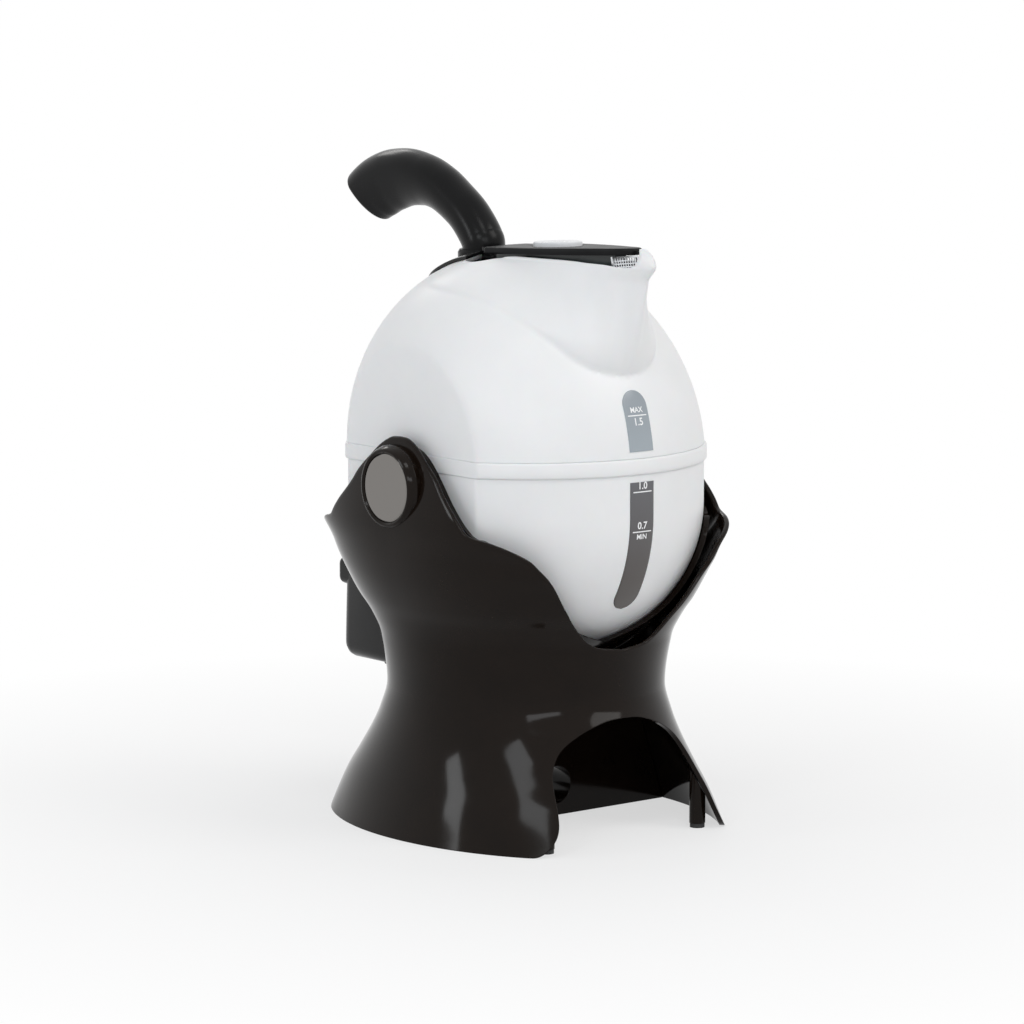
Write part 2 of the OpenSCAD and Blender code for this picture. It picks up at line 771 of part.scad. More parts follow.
function dome_radius(z, e) =
    (dome_r + e) * sqrt(max(0.001, 1 - pow((z - belt_z) / (dome_h + e), 2)));

// Share that rises smoothly from 0 at a to 1 at b
function ease(t, a, b) = let (u = min(max((t - a) / (b - a), 0), 1)) u * u * (3 - 2 * u);

// Distance of the spout's wall from the leaning axis at angle a from the spout
function wall_radius(a, z, foot, e) =
    let (
        low = dome_radius(foot, e),
        rim = mix(mouth_half, spout_reach + dome_y(apex_z), curve(RIM_SHARE, a)) + e,
        t = min(max((z - foot) / (apex_z - rim_depth - foot), 0), 1),
        lip = curve(FLARE_OUT, a)
    )
    low + (rim - lip - low) * pow(t, curve(WALL_POWER, a))
    + curve(BULGE, a) * (1 - pow(1 - t, 6)) * (1 - pow(t, 3))
    + lip * ease(z, apex_z - lip_low, apex_z - rim_depth)
    - curve(CURL, z - apex_z);

// Point of the upper shell at angle h from the spout and height z, grown by e
function shell_point(h, z, e) =
    let (
        a = h > 180 ? 360 - h : h,
        foot = apex_z + curve(CREASE, a),
        dome = dome_radius(z, e),
        wall = wall_radius(a, z, foot, e),
        facet = mix(dome, wall, ease(z, foot - crease_h / 2, foot + crease_h / 2)),
        r = mix(facet, soft_max(dome, wall, 0.6), ease(a, fade_from, fade_to)),
        x = soft_min(r * sin(a), flat_x + e, 1)
    )
    [h > 180 ? -x : x, dome_y(z) - r * cos(a), z];

function mouth_z(h) = apex_z - curve(MOUTH, h > 180 ? 360 - h : h);

// How far the inner surface lies below the outer one, for an edge square to the wall
function inner_drop(h, z) =
    shell_wall * (z - shell_z) / (apex_z - shell_z)
    * min(max((abs(180 - h) - 140) / -50, 0), 1);

SHELL_QUARTER = [0, 1, 2, 3.2, 5, 8, 12, 16, 21, 27, 34, 41, 47, 51, 55, 60, 67, 75, 84];
SHELL_REAR = [93, 102, 110, 117, 123, 127, 131, 138, 146, 154, 163, 172];
SHELL_HALF = concat(SHELL_QUARTER, SHELL_REAR);
SHELL_ROUND = concat(
    SHELL_HALF, [180], [for (i = [len(SHELL_HALF) - 1 : -1 : 1]) 360 - SHELL_HALF[i]]
);
SHELL_STEPS = 13;
shell_z = belt_z + belt_h / 2;

module upper_shell() {
    // Levels crowd towards the mouth, as equal steps of latitude do
    levels = [for (j = [0 : SHELL_STEPS]) sin(80 * j / SHELL_STEPS) / sin(80)];
    points = [
        for (h = SHELL_ROUND)
            let (hi = mouth_z(h))
            each concat(
                [for (t = levels) shell_point(h, mix(shell_z, hi, t), 0)],
                [
                    for (j = [SHELL_STEPS : -1 : 0])
                        let (z = mix(shell_z, hi, levels[j]))
                        shell_point(h, z - inner_drop(h, z), -shell_wall)
                ]
            )
    ];
    color("#eef0f2") difference() {
        polyhedron(points, ring_faces(len(SHELL_ROUND), 2 * (SHELL_STEPS + 1)), convexity = 8);
        translate([0, 0, 2 * upper_window_z + upper_window_h]) mirror([0, 0, 1])
            window_cut(upper_window_z, upper_window_h, seat);
        // Seat of the handle's foot
        translate([0, collar_y, apex_z - 20]) cylinder(r = handle_r + 2 * seat, h = 30);
    }
}

// Window with a round top, bent to the upper shell
module upper_window() {
    rows = 12;
    cols = 4;
    straight = upper_window_h - window_half;
    heights = [for (i = [0 : rows])
        i < rows / 2 ? straight * 2 * i / rows
        : straight + window_half * 0.97 * sin(90 * (2 * i / rows - 1))];
    function half(z) =
        z <= straight ? window_half
        : sqrt(max(0, pow(window_half, 2) - pow(z - straight, 2)));
    function at(x, z, e) =
        let (r = dome_radius(z, e), y = dome_y(z)) [x, y - sqrt(r * r - x * x), z];
    points = [
        for (z = heights) each concat(
            [for (j = [-cols : cols]) at(half(z) * j / cols, upper_window_z + z, window_proud)],
            [for (j = [cols : -1 : -cols])
                at(half(z) * j / cols, upper_window_z + z, window_proud - shell_wall)]
        )
    ];
    color("#8d97a3") polyhedron(points, tube_faces(rows + 1, 4 * cols + 2));
}

// ---------------------------------------------------------------- top of the kettle

// Ellipsoid of the dome's top, grown by e, about the mean place of the leaning axis
module cap_solid(e) {
    steps = 30;
    translate([0, dome_lean * dome_h * 0.85, belt_z]) rotate_extrude($fn = 120) polygon(concat(
        [[0, 0]],
        [for (i = [0 : steps]) let (a = 90 * i / steps) [(dome_r + e) * cos(a), (dome_h + e) * sin(a)]]
    ));
}

cover_front = 15.9;
cover_back = 57;

module rear_cover() {
    r = lid_half + 1.5;
    color("#17181a") difference() {
        intersection() {
            cap_solid(cover_proud);
            translate([0, 0, belt_z + 30]) linear_extrude(dome_h) union() {
                translate([-r, cover_front]) square([2 * r, cover_back - r - cover_front]);
                translate([0, cover_back - r]) circle(r = r);
            }
        }
        cap_solid(cover_seat);
        translate([0, collar_y, belt_z]) cylinder(r = collar_r + seat, h = dome_h + 20);
    }
}

// The cover lies between these two heights above the upper shell
cover_seat = 0.45;
cover_proud = 1.9;

collar_y = 30;
collar_r = handle_r + 2;
collar_top = apex_z - 0.6;

module handle_collar() {
    color("#101011") difference() {
        translate([0, collar_y, 0]) rotate_extrude() polygon([
            [handle_r + 0.05, collar_top - 12], [collar_r, collar_top - 12],
            [collar_r, collar_top - 1.4], [collar_r - 0.8, collar_top],
            [handle_r + 0.05, collar_top]
        ]);
        cap_solid(cover_seat);
    }
}

// Centre line of the handle: [share of its reach, share of its rise]
HANDLE = [
    [0, 0], [0, 0.25], [0.016, 0.33], [0.066, 0.48], [0.13, 0.63], [0.22, 0.77], [0.33, 0.9],
    [0.45, 0.975], [0.58, 1], [0.71, 0.97], [0.835, 0.88], [0.93, 0.75], [1, 0.6]
];
// Half-depth of the grip under its middle: [share along the list above, share of the swell]
SWELL_UNDER = [[0, 0], [0.55, 0], [0.7, 0.3], [0.82, 0.75], [0.9, 0.85], [1, 0.35]];

handle_low = apex_z - 9;
HANDLE_RINGS = 22;
HANDLE_SIDES = 24;

// Place of the handle's centre line at share t of its keys
function handle_at(t) =
    let (
        u = t * (len(HANDLE) - 1),
        ky = [for (i = [0 : len(HANDLE) - 1]) [i, HANDLE[i][0], HANDLE[i][1]]]
    )
    [
        collar_y + (handle_reach - collar_y) * curve(ky, u, 1),
        handle_low + handle_rise * curve(ky, u, 2)
    ];

module handle() {
    points = [
        for (i = [0 : HANDLE_RINGS])
            let (
                t = i / HANDLE_RINGS,
                p = handle_at(t),
                q = handle_at(min(t + 0.02, 1)) - handle_at(max(t - 0.02, 0)),
                n = q / norm(q),
                d = i == 0 ? [0, 1] : n,
                under = handle_r + (swell_h - handle_r) * curve(SWELL_UNDER, t),
                wide = handle_r * (1 + 0.08 * curve(SWELL_UNDER, t))
            )
            for (j = [0 : HANDLE_SIDES - 1])
                let (
                    a = 360 * j / HANDLE_SIDES,
                    up = sin(a) * (sin(a) > 0 ? handle_r : under)
                )
                [wide * cos(a), p[0] - d[1] * up, p[1] + d[0] * up]
    ];
    color("#0c0c0d") polyhedron(points, tube_faces(HANDLE_RINGS + 1, HANDLE_SIDES));
}

// Half-width of the lid: [share of the way from the nose to the hinge, share of the width]
LID = [
    [0, 0.02], [0.004, 0.12], [0.03, 0.24], [0.08, 0.35], [0.155, 0.45], [0.3, 0.66],
    [0.45, 0.83], [0.62, 0.95], [0.8, 1], [1, 1]
];
lid_back = 12;
lid_z = apex_z + 1;
lid_pitch = 1.6;

module lid_outline(e) {
    steps = 44;
    length = lid_back + lid_reach;
    function half(s) = max(lid_half * curve(LID, s) - e, 0.05);
    shares = [for (i = [0 : steps]) 1 - cos(90 * i / steps)];
    polygon(concat(
        [for (s = shares) [half(s), min(max(s * length - lid_reach, e - lid_reach), lid_back - e)]],
        [
            for (i = [steps : -1 : 0]) let (s = shares[i])
                [-half(s), min(max(s * length - lid_reach, e - lid_reach), lid_back - e)]
        ]
    ));
}

// Places a shape that is drawn on the lid's plane
module on_lid() {
    translate([0, lid_back, lid_z]) rotate([-lid_pitch, 0, 0]) translate([0, -lid_back, 0])
        children();
}

button_at = -22;

// Oval of the lid button, grown by e
module button_outline(e) {
    steps = 40;
    polygon([for (i = [0 : steps - 1]) let (a = 360 * i / steps)
        [(button_x + e) * cos(a), button_at + (button_y + e) * sin(a)]]);
}

module lid() {
    color("#1a1b1d") difference() {
        on_lid() union() {
            linear_extrude(lid_t - lid_edge) lid_outline(0);
            translate([0, 0, lid_t - lid_edge]) linear_extrude(lid_edge) lid_outline(lid_edge);
            // Knuckle round the hinge pin
            translate([0, lid_pin_y, lid_pin_drop]) rotate([0, 90, 0])
                cylinder(r = knuckle_r, h = 2 * knuckle_half, center = true);
        }
        on_lid() translate([0, 0, -1]) linear_extrude(lid_t + 2) button_outline(run);
        on_lid() translate([0, lid_pin_y, lid_pin_drop]) rotate([0, 90, 0])
            cylinder(r = lid_pin_r + pin_fit, h = 2 * knuckle_half + 2, center = true, $fn = 32);
        // Notches for the hinge lugs
        on_lid() for (s = [-1, 1])
            translate([s * lug_x - lug_t / 2 - run, lid_pin_y - lug_front - 2 * run, -1])
                cube([lug_t + 2 * run, 20, lid_t + 2]);
    }
}

// Height of the step round the lid's upper edge
lid_edge = 0.7;
// Hinge pin, in the lid's plane, and the knuckle round it
lid_pin_r = 1.2;
lid_pin_y = 8.6;
lid_pin_drop = -1.9;
knuckle_r = 2.6;
knuckle_half = 9;

module lid_pin() {
    color("#b9bcbe") on_lid() translate([0, lid_pin_y, lid_pin_drop]) rotate([0, 90, 0])
        cylinder(r = lid_pin_r, h = 2 * (lug_x + lug_t / 2), center = true, $fn = 32);
}

// Lugs that carry the ends of the hinge pin, standing in front of the cover
lug_t = 3;
lug_x = knuckle_half + run + lug_t / 2;
lug_front = 2.4;

module hinge_lugs() {
    long = cover_front - seat - lid_pin_y + lug_front;
    color("#17181a") on_lid() for (s = [-1, 1])
        translate([s * lug_x, lid_pin_y, lid_pin_drop]) difference() {
            translate([-lug_t / 2, -lug_front, -2.4]) cube([lug_t, long, 5]);
            rotate([0, 90, 0]) cylinder(r = lid_pin_r + 0.01, h = 8, center = true, $fn = 32);
        }
}

// The skirt is deep enough to hold the button's spring when that is pressed
skirt_depth = button_travel + 6.8;
skirt_in = 5.4;
skirt_wall = 1.8;
skirt_floor = 1.6;
skirt_nose = 12;
skirt_back = 3;

module lid_skirt() {
    color("#202124") on_lid() difference() {
        translate([0, 0, -skirt_depth]) linear_extrude(skirt_depth) intersection() {
            lid_outline(skirt_in);
            translate([-40, skirt_nose - lid_reach])
                square([80, lid_reach - skirt_nose + skirt_back]);
        }
        translate([0, 0, skirt_floor - skirt_depth]) linear_extrude(skirt_depth) intersection() {
            lid_outline(skirt_in + skirt_wall);
            translate([-40, skirt_nose + skirt_wall - lid_reach])
                square([80, lid_reach - skirt_nose + skirt_back - 2 * skirt_wall]);
        }
    }
}

button_t = lid_t + button_proud;

module lid_button() {
    color("#e9ebee") on_lid() translate([0, 0, 0.2]) union() {
        linear_extrude(button_t - 1.2) button_outline(0);
        translate([0, 0, button_t - 1.2]) linear_extrude(0.6) button_outline(-0.5);
        translate([0, 0, button_t - 0.6]) linear_extrude(0.4) button_outline(-1.3);
    }
}

module button_spring() {
    turns = 4;
    sides = 6;
    steps = 20;
    wire = 0.45;
    coil = 4;
    low = skirt_floor + 0.2 - skirt_depth;
    high = -0.35;
    points = [
        for (i = [0 : turns * steps]) let (a = 360 * i / steps, t = i / (turns * steps))
            for (j = [0 : sides - 1]) let (b = 360 * j / sides)
                [
                    (coil + wire * cos(b)) * cos(a),
                    button_at + (coil + wire * cos(b)) * sin(a),
                    mix(low + wire, high - wire, t) + wire * sin(b)
                ]
    ];
    color("#b9bcbe") on_lid() polyhedron(points, tube_faces(turns * steps + 1, sides));
}

// Slotted plate across the spout: distance from the axis, half-width, height, depth of its
// foot below the apex, and lean
filter_reach = 69.4;
filter_half = 7.45;
filter_h = 9.6;
filter_drop = 8.6;
filter_lean = 12;

module spout_filter() {
    bars = 5;
    pitch = 2.4;
    slot = 1.2;
    edge = 1.2;
    color("#c4c8cc") translate([0, -filter_reach, apex_z - filter_drop])
        rotate([-filter_lean, 0, 0]) difference() {
            translate([-filter_half, -0.5, 0]) cube([2 * filter_half, 1, filter_h]);
            for (i = [0 : bars - 1])
                translate([(i - (bars - 1) / 2) * pitch - slot / 2, -1, edge])
                    cube([slot, 2, filter_h - 2 * edge]);
        }
}

// ---------------------------------------------------------------- inside the kettle

// Heating plate and the closed block under it
plate_z = base_z + 20.5;
plate_t = 2;
block_r = 27;
block_z = base_z + 13;

// Outline of the lower shell's inside between two heights, drawn in by e
module bowl_slice(e, z, h) {
    intersection() {
        bowl(-shell_wall - e, bowl_top);
        translate([0, 0, z]) cylinder(r = bowl_r + 10, h = h);
    }
}

module element_plate() {
    color("#c4c8cc") bowl_slice(0.3, plate_z, plate_t);
}

module control_unit() {
    color("#d8d4c8") translate([0, 0, block_z]) cylinder(r = block_r, h = plate_z - block_z - seat);
}

module base_cover() {
    color("#2a2b2d") difference() {
        translate([0, 0, base_z]) cylinder(r = cover_r, h = shell_wall);
        translate([0, 0, base_z - 1]) cylinder(r = connector_r + seat, h = shell_wall + 2);
    }
}

module base_socket() {
    color("#1c1c1e") translate([0, 0, base_z + 0.1]) difference() {
        union() {
            cylinder(r = connector_r, h = 12.8);
            translate([0, 0, shell_wall]) cylinder(r = connector_r + 3, h = 2);
        }
        translate([0, 0, -1]) cylinder(r = connector_r - 4 + run, h = connector_h + 1.4);
        translate([0, 0, connector_h]) cylinder(r = 2, h = 1);
    }
}

stand_shell();
cross_web();
foot_posts();
rubber_feet();
pivot_bezels();
pivot_bushes();
boss_caps();
cradle_cup();
pivot_pins();
pin_washers();
pin_screws();
power_connector();
switch_housing();
cord_gland();
indicator_lens();
rocker_switch();
upper_shell();
belt_ring();
lower_shell();
upper_window();
lower_window();
rear_cover();
handle();
handle_collar();
spout_filter();
element_plate();
control_unit();
base_cover();
base_socket();
lid_pin();
hinge_lugs();
lid();
lid_skirt();
button_spring();
lid_button();
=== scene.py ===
"""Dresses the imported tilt-to-pour kettle: shells, level marks, materials, studio and camera."""

import math

import bpy
import numpy as np
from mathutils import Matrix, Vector


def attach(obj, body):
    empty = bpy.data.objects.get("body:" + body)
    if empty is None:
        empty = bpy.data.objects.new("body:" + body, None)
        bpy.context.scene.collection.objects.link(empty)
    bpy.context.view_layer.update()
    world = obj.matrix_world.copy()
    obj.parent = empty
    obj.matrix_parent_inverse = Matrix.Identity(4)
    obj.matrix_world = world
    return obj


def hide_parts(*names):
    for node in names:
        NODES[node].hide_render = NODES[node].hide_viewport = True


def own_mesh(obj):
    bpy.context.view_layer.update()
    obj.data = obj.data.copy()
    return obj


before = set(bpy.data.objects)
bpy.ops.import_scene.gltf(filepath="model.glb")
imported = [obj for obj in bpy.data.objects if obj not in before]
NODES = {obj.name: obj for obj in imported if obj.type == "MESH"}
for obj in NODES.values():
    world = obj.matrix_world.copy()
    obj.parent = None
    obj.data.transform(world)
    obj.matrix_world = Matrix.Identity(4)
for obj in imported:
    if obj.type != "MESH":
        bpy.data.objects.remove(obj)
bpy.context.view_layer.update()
MM = 0.001

# ---------------------------------------------------------------- sizes, in millimetres

# Upper shell: an egg-shaped dome that leans back, with flat cheeks at FLAT_X
DOME_R, DOME_H, DOME_LEAN, FLAT_X = 80, 88.5, 0.075, 65.3
# Lower shell: a straight band above a round bowl with a flat base
BOWL_R, BOWL_STRAIGHT, BOWL_ROUND, BASE_R = 79.6, 19, 73, 39.5
SHELL_WALL, BELT_PROUD, BELT_H, BELT_RISE = 2.6, 1.2, 7, 11
# The cheeks flatten it from CHEEK_FROM outwards, and fall away outside a circle of CHEEK_R
CHEEK_FROM, CHEEK_R, CHEEK_FALL = 20, 47.5, 0.45
SPOUT_REACH, MOUTH_HALF, BEAK_RISE, BEAK_OVER = 88, 23, 6.3, 6.3
WINDOW_HALF, UPPER_WINDOW_H, LOWER_WINDOW_H, WINDOW_GAP, WINDOW_PROUD = 6.7, 26, 57.5, 3.2, 0.3
MARK_PROUD, LINE_HALF, LINE_THICK, NUMBER_SIZE, WORD_SIZE = WINDOW_PROUD + 0.04, 5.2, 0.5, 4.4, 3.2
LID_HALF, LID_REACH, LID_T, LID_BACK = 20, 76.8, 3, 12
BUTTON_X, BUTTON_Y, BUTTON_AT = 10, 13, -22
HANDLE_R, HANDLE_REACH, HANDLE_RISE, COLLAR_Y = 9.7, 121, 41.5, 30
# Cradle: its cup follows the lower shell, and a hollow neck joins it to the switch pod
CUP_GAP, CUP_WALL, CUP_HOLE = 0.65, 2.6, 20
NECK_HALF, NECK_TOP, NECK_LOW, NECK_FRONT, NECK_BACK = 15, -49, -60, 46, 76.5
POD_MID, POD_HALF, POD_LOW, POD_HIGH = 98, 18, 60, 107
# Stand: half sizes at the foot and the waist, and heights of the ear, the dip and the arch
PIVOT_Z, PIVOT_BORE, STAND_WALL, FOOT_X, FOOT_Y = 156, 15, 2.4, 77.4, 104.4
WAIST_X, WAIST_Y, WAIST_Z, SHOULDER_Y = 61.2, 64.4, 62.6, 97.5
EAR_ROOM, EAR_RISE, DIP_DROP, ARCH_H = 4.6, 21.3, 71.8, 54.5

BELT_Z = PIVOT_Z + BELT_RISE
BOWL_TOP = BELT_Z - BELT_H / 2
BOWL_MID = BOWL_TOP - BOWL_STRAIGHT
BASE_Z = BOWL_MID - BOWL_ROUND * math.sqrt(1 - (BASE_R / BOWL_R) ** 2)
APEX_Z = BELT_Z + DOME_H
SHELL_Z = BELT_Z + BELT_H / 2
CHEEK_X = FLAT_X + CUP_GAP + CUP_WALL
EAR_X = CHEEK_X + EAR_ROOM + STAND_WALL

# ---------------------------------------------------------------- curves


def mix(a, b, t):
    return a + (b - a) * t


def curve(keys, t, c=1):
    """Smooth curve through keys [t, value, ...] without overshoot, held flat past its ends."""
    k = np.array(keys, float)
    x, y = k[:, 0], k[:, c]
    d = np.diff(y) / np.diff(x)
    m = np.concatenate([d[:1], np.zeros(len(d) - 1), d[-1:]])
    a, b = d[:-1], d[1:]
    same = a * b > 0
    m[1:-1][same] = (2 * a * b)[same] / (a + b)[same]
    t = np.clip(np.asarray(t, float), x[0], x[-1])
    i = np.clip(np.searchsorted(x, t) - 1, 0, len(x) - 2)
    w = x[i + 1] - x[i]
    u = (t - x[i]) / w
    v = 1 - u
    return (
        y[i] * v * v * (1 + 2 * u)
        + y[i + 1] * u * u * (3 - 2 * u)
        + w * u * v * (m[i] * v - m[i + 1] * u)
    )


def soft_max(a, b, k):
    return (a + b + np.sqrt((a - b) ** 2 + k * k)) / 2


def soft_min(a, b, k):
    return (a + b - np.sqrt((a - b) ** 2 + k * k)) / 2


def fine(values, step):
    """The same range with every interval cut into parts no wider than step, and at least three."""
    out = []
    for a, b in zip(values[:-1], values[1:]):
        n = max(3, math.ceil((b - a) / step))
        out += [mix(a, b, i / n) for i in range(n)]
    return out + [values[-1]]


# ---------------------------------------------------------------- mesh helpers


def add_mesh(name, verts, faces, body, material, node=None, sharp=35):
    """A smooth-shaded piece in millimetres that rides on a body and may stand for a CAD node."""
    mesh = bpy.data.meshes.new(name)
    mesh.from_pydata((np.asarray(verts, float) * MM).tolist(), [], faces)
    mesh.validate()
    mesh.shade_smooth()
    if sharp:
        mesh.set_sharp_from_angle(angle=math.radians(sharp))
    obj = bpy.data.objects.new(name, mesh)
    bpy.context.scene.collection.objects.link(obj)
    mesh.materials.append(material)
    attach(obj, body)
    if node:
        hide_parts(node)
    return obj


def grid_faces(nu, nv, close_u=True, close_v=True, keep=None):
    """Quads of a grid of nu rows and nv columns; keep says which of them stay."""
    faces = []
    for i in range(nu if close_u else nu - 1):
        for j in range(nv if close_v else nv - 1):
            i2, j2 = (i + 1) % nu, (j + 1) % nv
            if keep is None or keep[i, j]:
                faces.append((i * nv + j, i2 * nv + j, i2 * nv + j2, i * nv + j2))
    return faces


def add_grid(name, p, body, material, node, sharp=35, ends="", keep=None):
    """A piece from a grid of points, closed both ways or with flat ends along "u" or "v"."""
    nu, nv = p.shape[:2]
    faces = grid_faces(nu, nv, ends != "u", ends != "v", keep)
    if ends == "u":
        faces += [tuple((nu - 1) * nv + j for j in range(nv)), tuple(range(nv - 1, -1, -1))]
    if ends == "v":
        faces.append(tuple(i * nv for i in range(nu - 1, -1, -1)))
        faces.append(tuple(i * nv + nv - 1 for i in range(nu)))
    return add_mesh(name, p.reshape(-1, 3), faces, body, material, node, sharp)


def rounded_lip(outer, inner, reach, steps):
    """Round edge from the last points of the outer wall to the first points of the inner one."""
    start, end = outer[:, -1], inner[:, 0]
    along = start - outer[:, -2]
    along /= np.linalg.norm(along, axis=1)[:, None]
    lip = [
        mix(start, end, (1 - math.cos(phi)) / 2) + along * reach * math.sin(phi)
        for phi in np.pi * np.arange(1, steps) / steps
    ]
    return np.stack(lip, 1)


def reach_round(x, y, angles):
    """Distance from the origin to a mirrored outline, at angles from its y axis."""
    angle, reach = np.arctan2(x, y), np.hypot(x, y)
    order = np.argsort(angle)
    fold = np.abs((angles + np.pi) % (2 * np.pi) - np.pi)
    return np.interp(fold, angle[order], reach[order])


BOX_FACES = [(0, 1, 3, 2), (4, 6, 7, 5), (0, 4, 5, 1), (2, 3, 7, 6), (0, 2, 6, 4), (1, 5, 7, 3)]


def box_corners(low, high):
    (x0, y0, z0), (x1, y1, z1) = low, high
    return [(x, y, z) for x in (x0, x1) for y in (y0, y1) for z in (z0, z1)]


def rounded_block(name, low, high, r, body, material):
    """Box whose edges are rounded by a bevel modifier."""
    obj = add_mesh(name, box_corners(low, high), BOX_FACES, body, material, sharp=0)
    bevel = obj.modifiers.new("round", "BEVEL")
    bevel.width, bevel.segments, bevel.harden_normals = r * MM, 5, True
# ---------------------------------------------------------------- materials


def material(name, color, rough, **sockets):
    """A Principled material; returns it with its node tree, shader and object coordinates."""
    m = bpy.data.materials.new(name)
    m.use_nodes = True
    tree = m.node_tree
    shader = tree.nodes["Principled BSDF"]
    shader.inputs["Base Color"].default_value = (*color, 1)
    shader.inputs["Roughness"].default_value = rough
    for key, value in sockets.items():
        shader.inputs[key.replace("_", " ")].default_value = value
    coord = tree.nodes.new("ShaderNodeTexCoord")
    return m, tree, shader, coord.outputs["Object"]


def node_of(tree, kind, links=(), **values):
    """A shader node with its settings or inputs set to values, and its inputs linked."""
    n = tree.nodes.new(kind)
    for key, value in values.items():
        if hasattr(n, key) and key not in n.inputs:
            setattr(n, key, value)
        else:
            n.inputs[key].default_value = value
    for key, out in links:
        tree.links.new(out, n.inputs[key])
    return n
def noise(tree, coord, scale, detail=3.0, rough=0.5, stretch=None):
    vec = coord
    if stretch:
        vec = node_of(tree, "ShaderNodeMapping", [("Vector", coord)], Scale=stretch).outputs[0]
    return node_of(
        tree, "ShaderNodeTexNoise", [("Vector", vec)], Scale=scale, Detail=detail, Roughness=rough
    ).outputs["Fac"]


def spread(tree, source, low, high, start=0.3, end=0.7):
    """Value that runs from low to high as source goes from start to end."""
    return node_of(
        tree,
        "ShaderNodeMapRange",
        [("Value", source)],
        **{"From Min": start, "From Max": end, "To Min": low, "To Max": high},
    ).outputs["Result"]
def tint(tree, source, a, b, start=0.3, end=0.7):
    """Colour that runs from a to b as source goes from start to end."""
    ramp = tree.nodes.new("ShaderNodeValToRGB")
    ramp.color_ramp.elements[0].position, ramp.color_ramp.elements[1].position = start, end
    ramp.color_ramp.elements[0].color = (*a, 1)
    ramp.color_ramp.elements[1].color = (*b, 1)
    tree.links.new(source, ramp.inputs["Fac"])
    return ramp.outputs["Color"]


def soft_edges(tree, radius):
    return node_of(tree, "ShaderNodeBevel", Radius=radius, samples=4)


def relief(tree, coord, scale, rough, strength, depth, under):
    """Fine relief laid over the normal that the node under it gives."""
    return node_of(
        tree,
        "ShaderNodeBump",
        [("Height", noise(tree, coord, scale, 2.0, rough)), ("Normal", under.outputs[0])],
        Strength=strength,
        Distance=depth,
    )


def moulded(name, color, other, rough, peel=0.02, grain=0.0, edge=0.0006, **sockets):
    """Moulded plastic: faint colour drift, handling haze, orange peel and softly rounded edges."""
    m, tree, shader, coord = material(name, color, rough[0], **sockets)
    drift = noise(tree, coord, 60, 4.0, 0.6)
    tree.links.new(tint(tree, drift, color, other), shader.inputs["Base Color"])
    haze = noise(tree, coord, 45, 6.0, 0.65)
    tree.links.new(spread(tree, haze, *rough), shader.inputs["Roughness"])
    bump = relief(tree, coord, 320, 0.4, peel, 0.0004, soft_edges(tree, edge))
    if grain:
        bump = relief(tree, coord, 2600, 0.6, grain, 0.0002, bump)
    tree.links.new(bump.outputs[0], shader.inputs["Normal"])
    return m


def brushed(name, color, rough, stretch):
    """Metal with fine lines that run across the axis with the largest stretch."""
    m, tree, shader, coord = material(name, color, rough, Metallic=1.0)
    lines = noise(tree, coord, 900, 3.0, 0.6, stretch)
    tree.links.new(spread(tree, lines, rough * 0.8, rough * 1.3), shader.inputs["Roughness"])
    bump = node_of(tree, "ShaderNodeBump", [("Height", lines)], Strength=0.12, Distance=0.0002)
    tree.links.new(bump.outputs[0], shader.inputs["Normal"])
    return m


def plated(name, color, rough):
    """Plated disc: a near mirror with handling haze and a very faint relief."""
    m, tree, shader, coord = material(name, color, rough, Metallic=1.0)
    haze = noise(tree, coord, 70, 5.0, 0.6)
    tree.links.new(spread(tree, haze, 0.03, 0.085), shader.inputs["Roughness"])
    bump = relief(tree, coord, 1500, 0.5, 0.01, 0.0002, soft_edges(tree, 0.0004))
    tree.links.new(bump.outputs[0], shader.inputs["Normal"])
    return m


def smoked(name, top, bottom, z_top, z_bottom):
    """Smoked strip whose shade changes down its height."""
    m, tree, shader, coord = material(name, top, 0.12, IOR=1.49)
    split = node_of(tree, "ShaderNodeSeparateXYZ", [("Vector", coord)])
    cloud = spread(tree, noise(tree, coord, 90, 3.0, 0.5), -0.0008, 0.0008)
    height = node_of(
        tree, "ShaderNodeMath", [(0, split.outputs["Z"]), (1, cloud)], operation="ADD"
    )
    share = spread(tree, height.outputs[0], 0, 1, z_bottom * MM, z_top * MM)
    tree.links.new(tint(tree, share, bottom, top, 0, 1), shader.inputs["Base Color"])
    haze = noise(tree, coord, 60, 5.0, 0.6)
    tree.links.new(spread(tree, haze, 0.1, 0.2), shader.inputs["Roughness"])
    bump = relief(tree, coord, 500, 0.5, 0.015, 0.0003, soft_edges(tree, 0.0004))
    tree.links.new(bump.outputs[0], shader.inputs["Normal"])
    return m
# Gloss black with a warm brown tint in its colour: a painted reflection of a brown wood table,
# spread evenly over the stand, cradle, web, posts and bezels
GLOSS_BLACK = moulded(
    "gloss_black", (0.0068, 0.0040, 0.0025), (0.0092, 0.0054, 0.0034), (0.08, 0.12), peel=0.012,
    Specular_IOR_Level=0.13,
)
GRIP_BLACK = moulded(
    "grip_black", (0.0036, 0.0037, 0.0040), (0.0050, 0.0051, 0.0054), (0.22, 0.27), peel=0.015,
    Specular_IOR_Level=0.13,
)
LID_BLACK = moulded(
    "lid_black", (0.007, 0.0072, 0.0078), (0.0095, 0.0097, 0.0102), (0.34, 0.42), peel=0.02,
    Specular_IOR_Level=0.1,
)
SATIN_BLACK = moulded(
    "satin_black", (0.0060, 0.0060, 0.0064), (0.0085, 0.0085, 0.0088), (0.12, 0.2), peel=0.02,
    Specular_IOR_Level=0.25,
)
MATTE_BLACK = moulded(
    "matte_black", (0.012, 0.012, 0.0125), (0.016, 0.016, 0.0165), (0.4, 0.52), peel=0.03,
    grain=0.25, Specular_IOR_Level=0.3,
)
RUBBER = moulded(
    "rubber", (0.022, 0.022, 0.023), (0.03, 0.03, 0.03), (0.62, 0.78), peel=0.05, grain=0.35
)
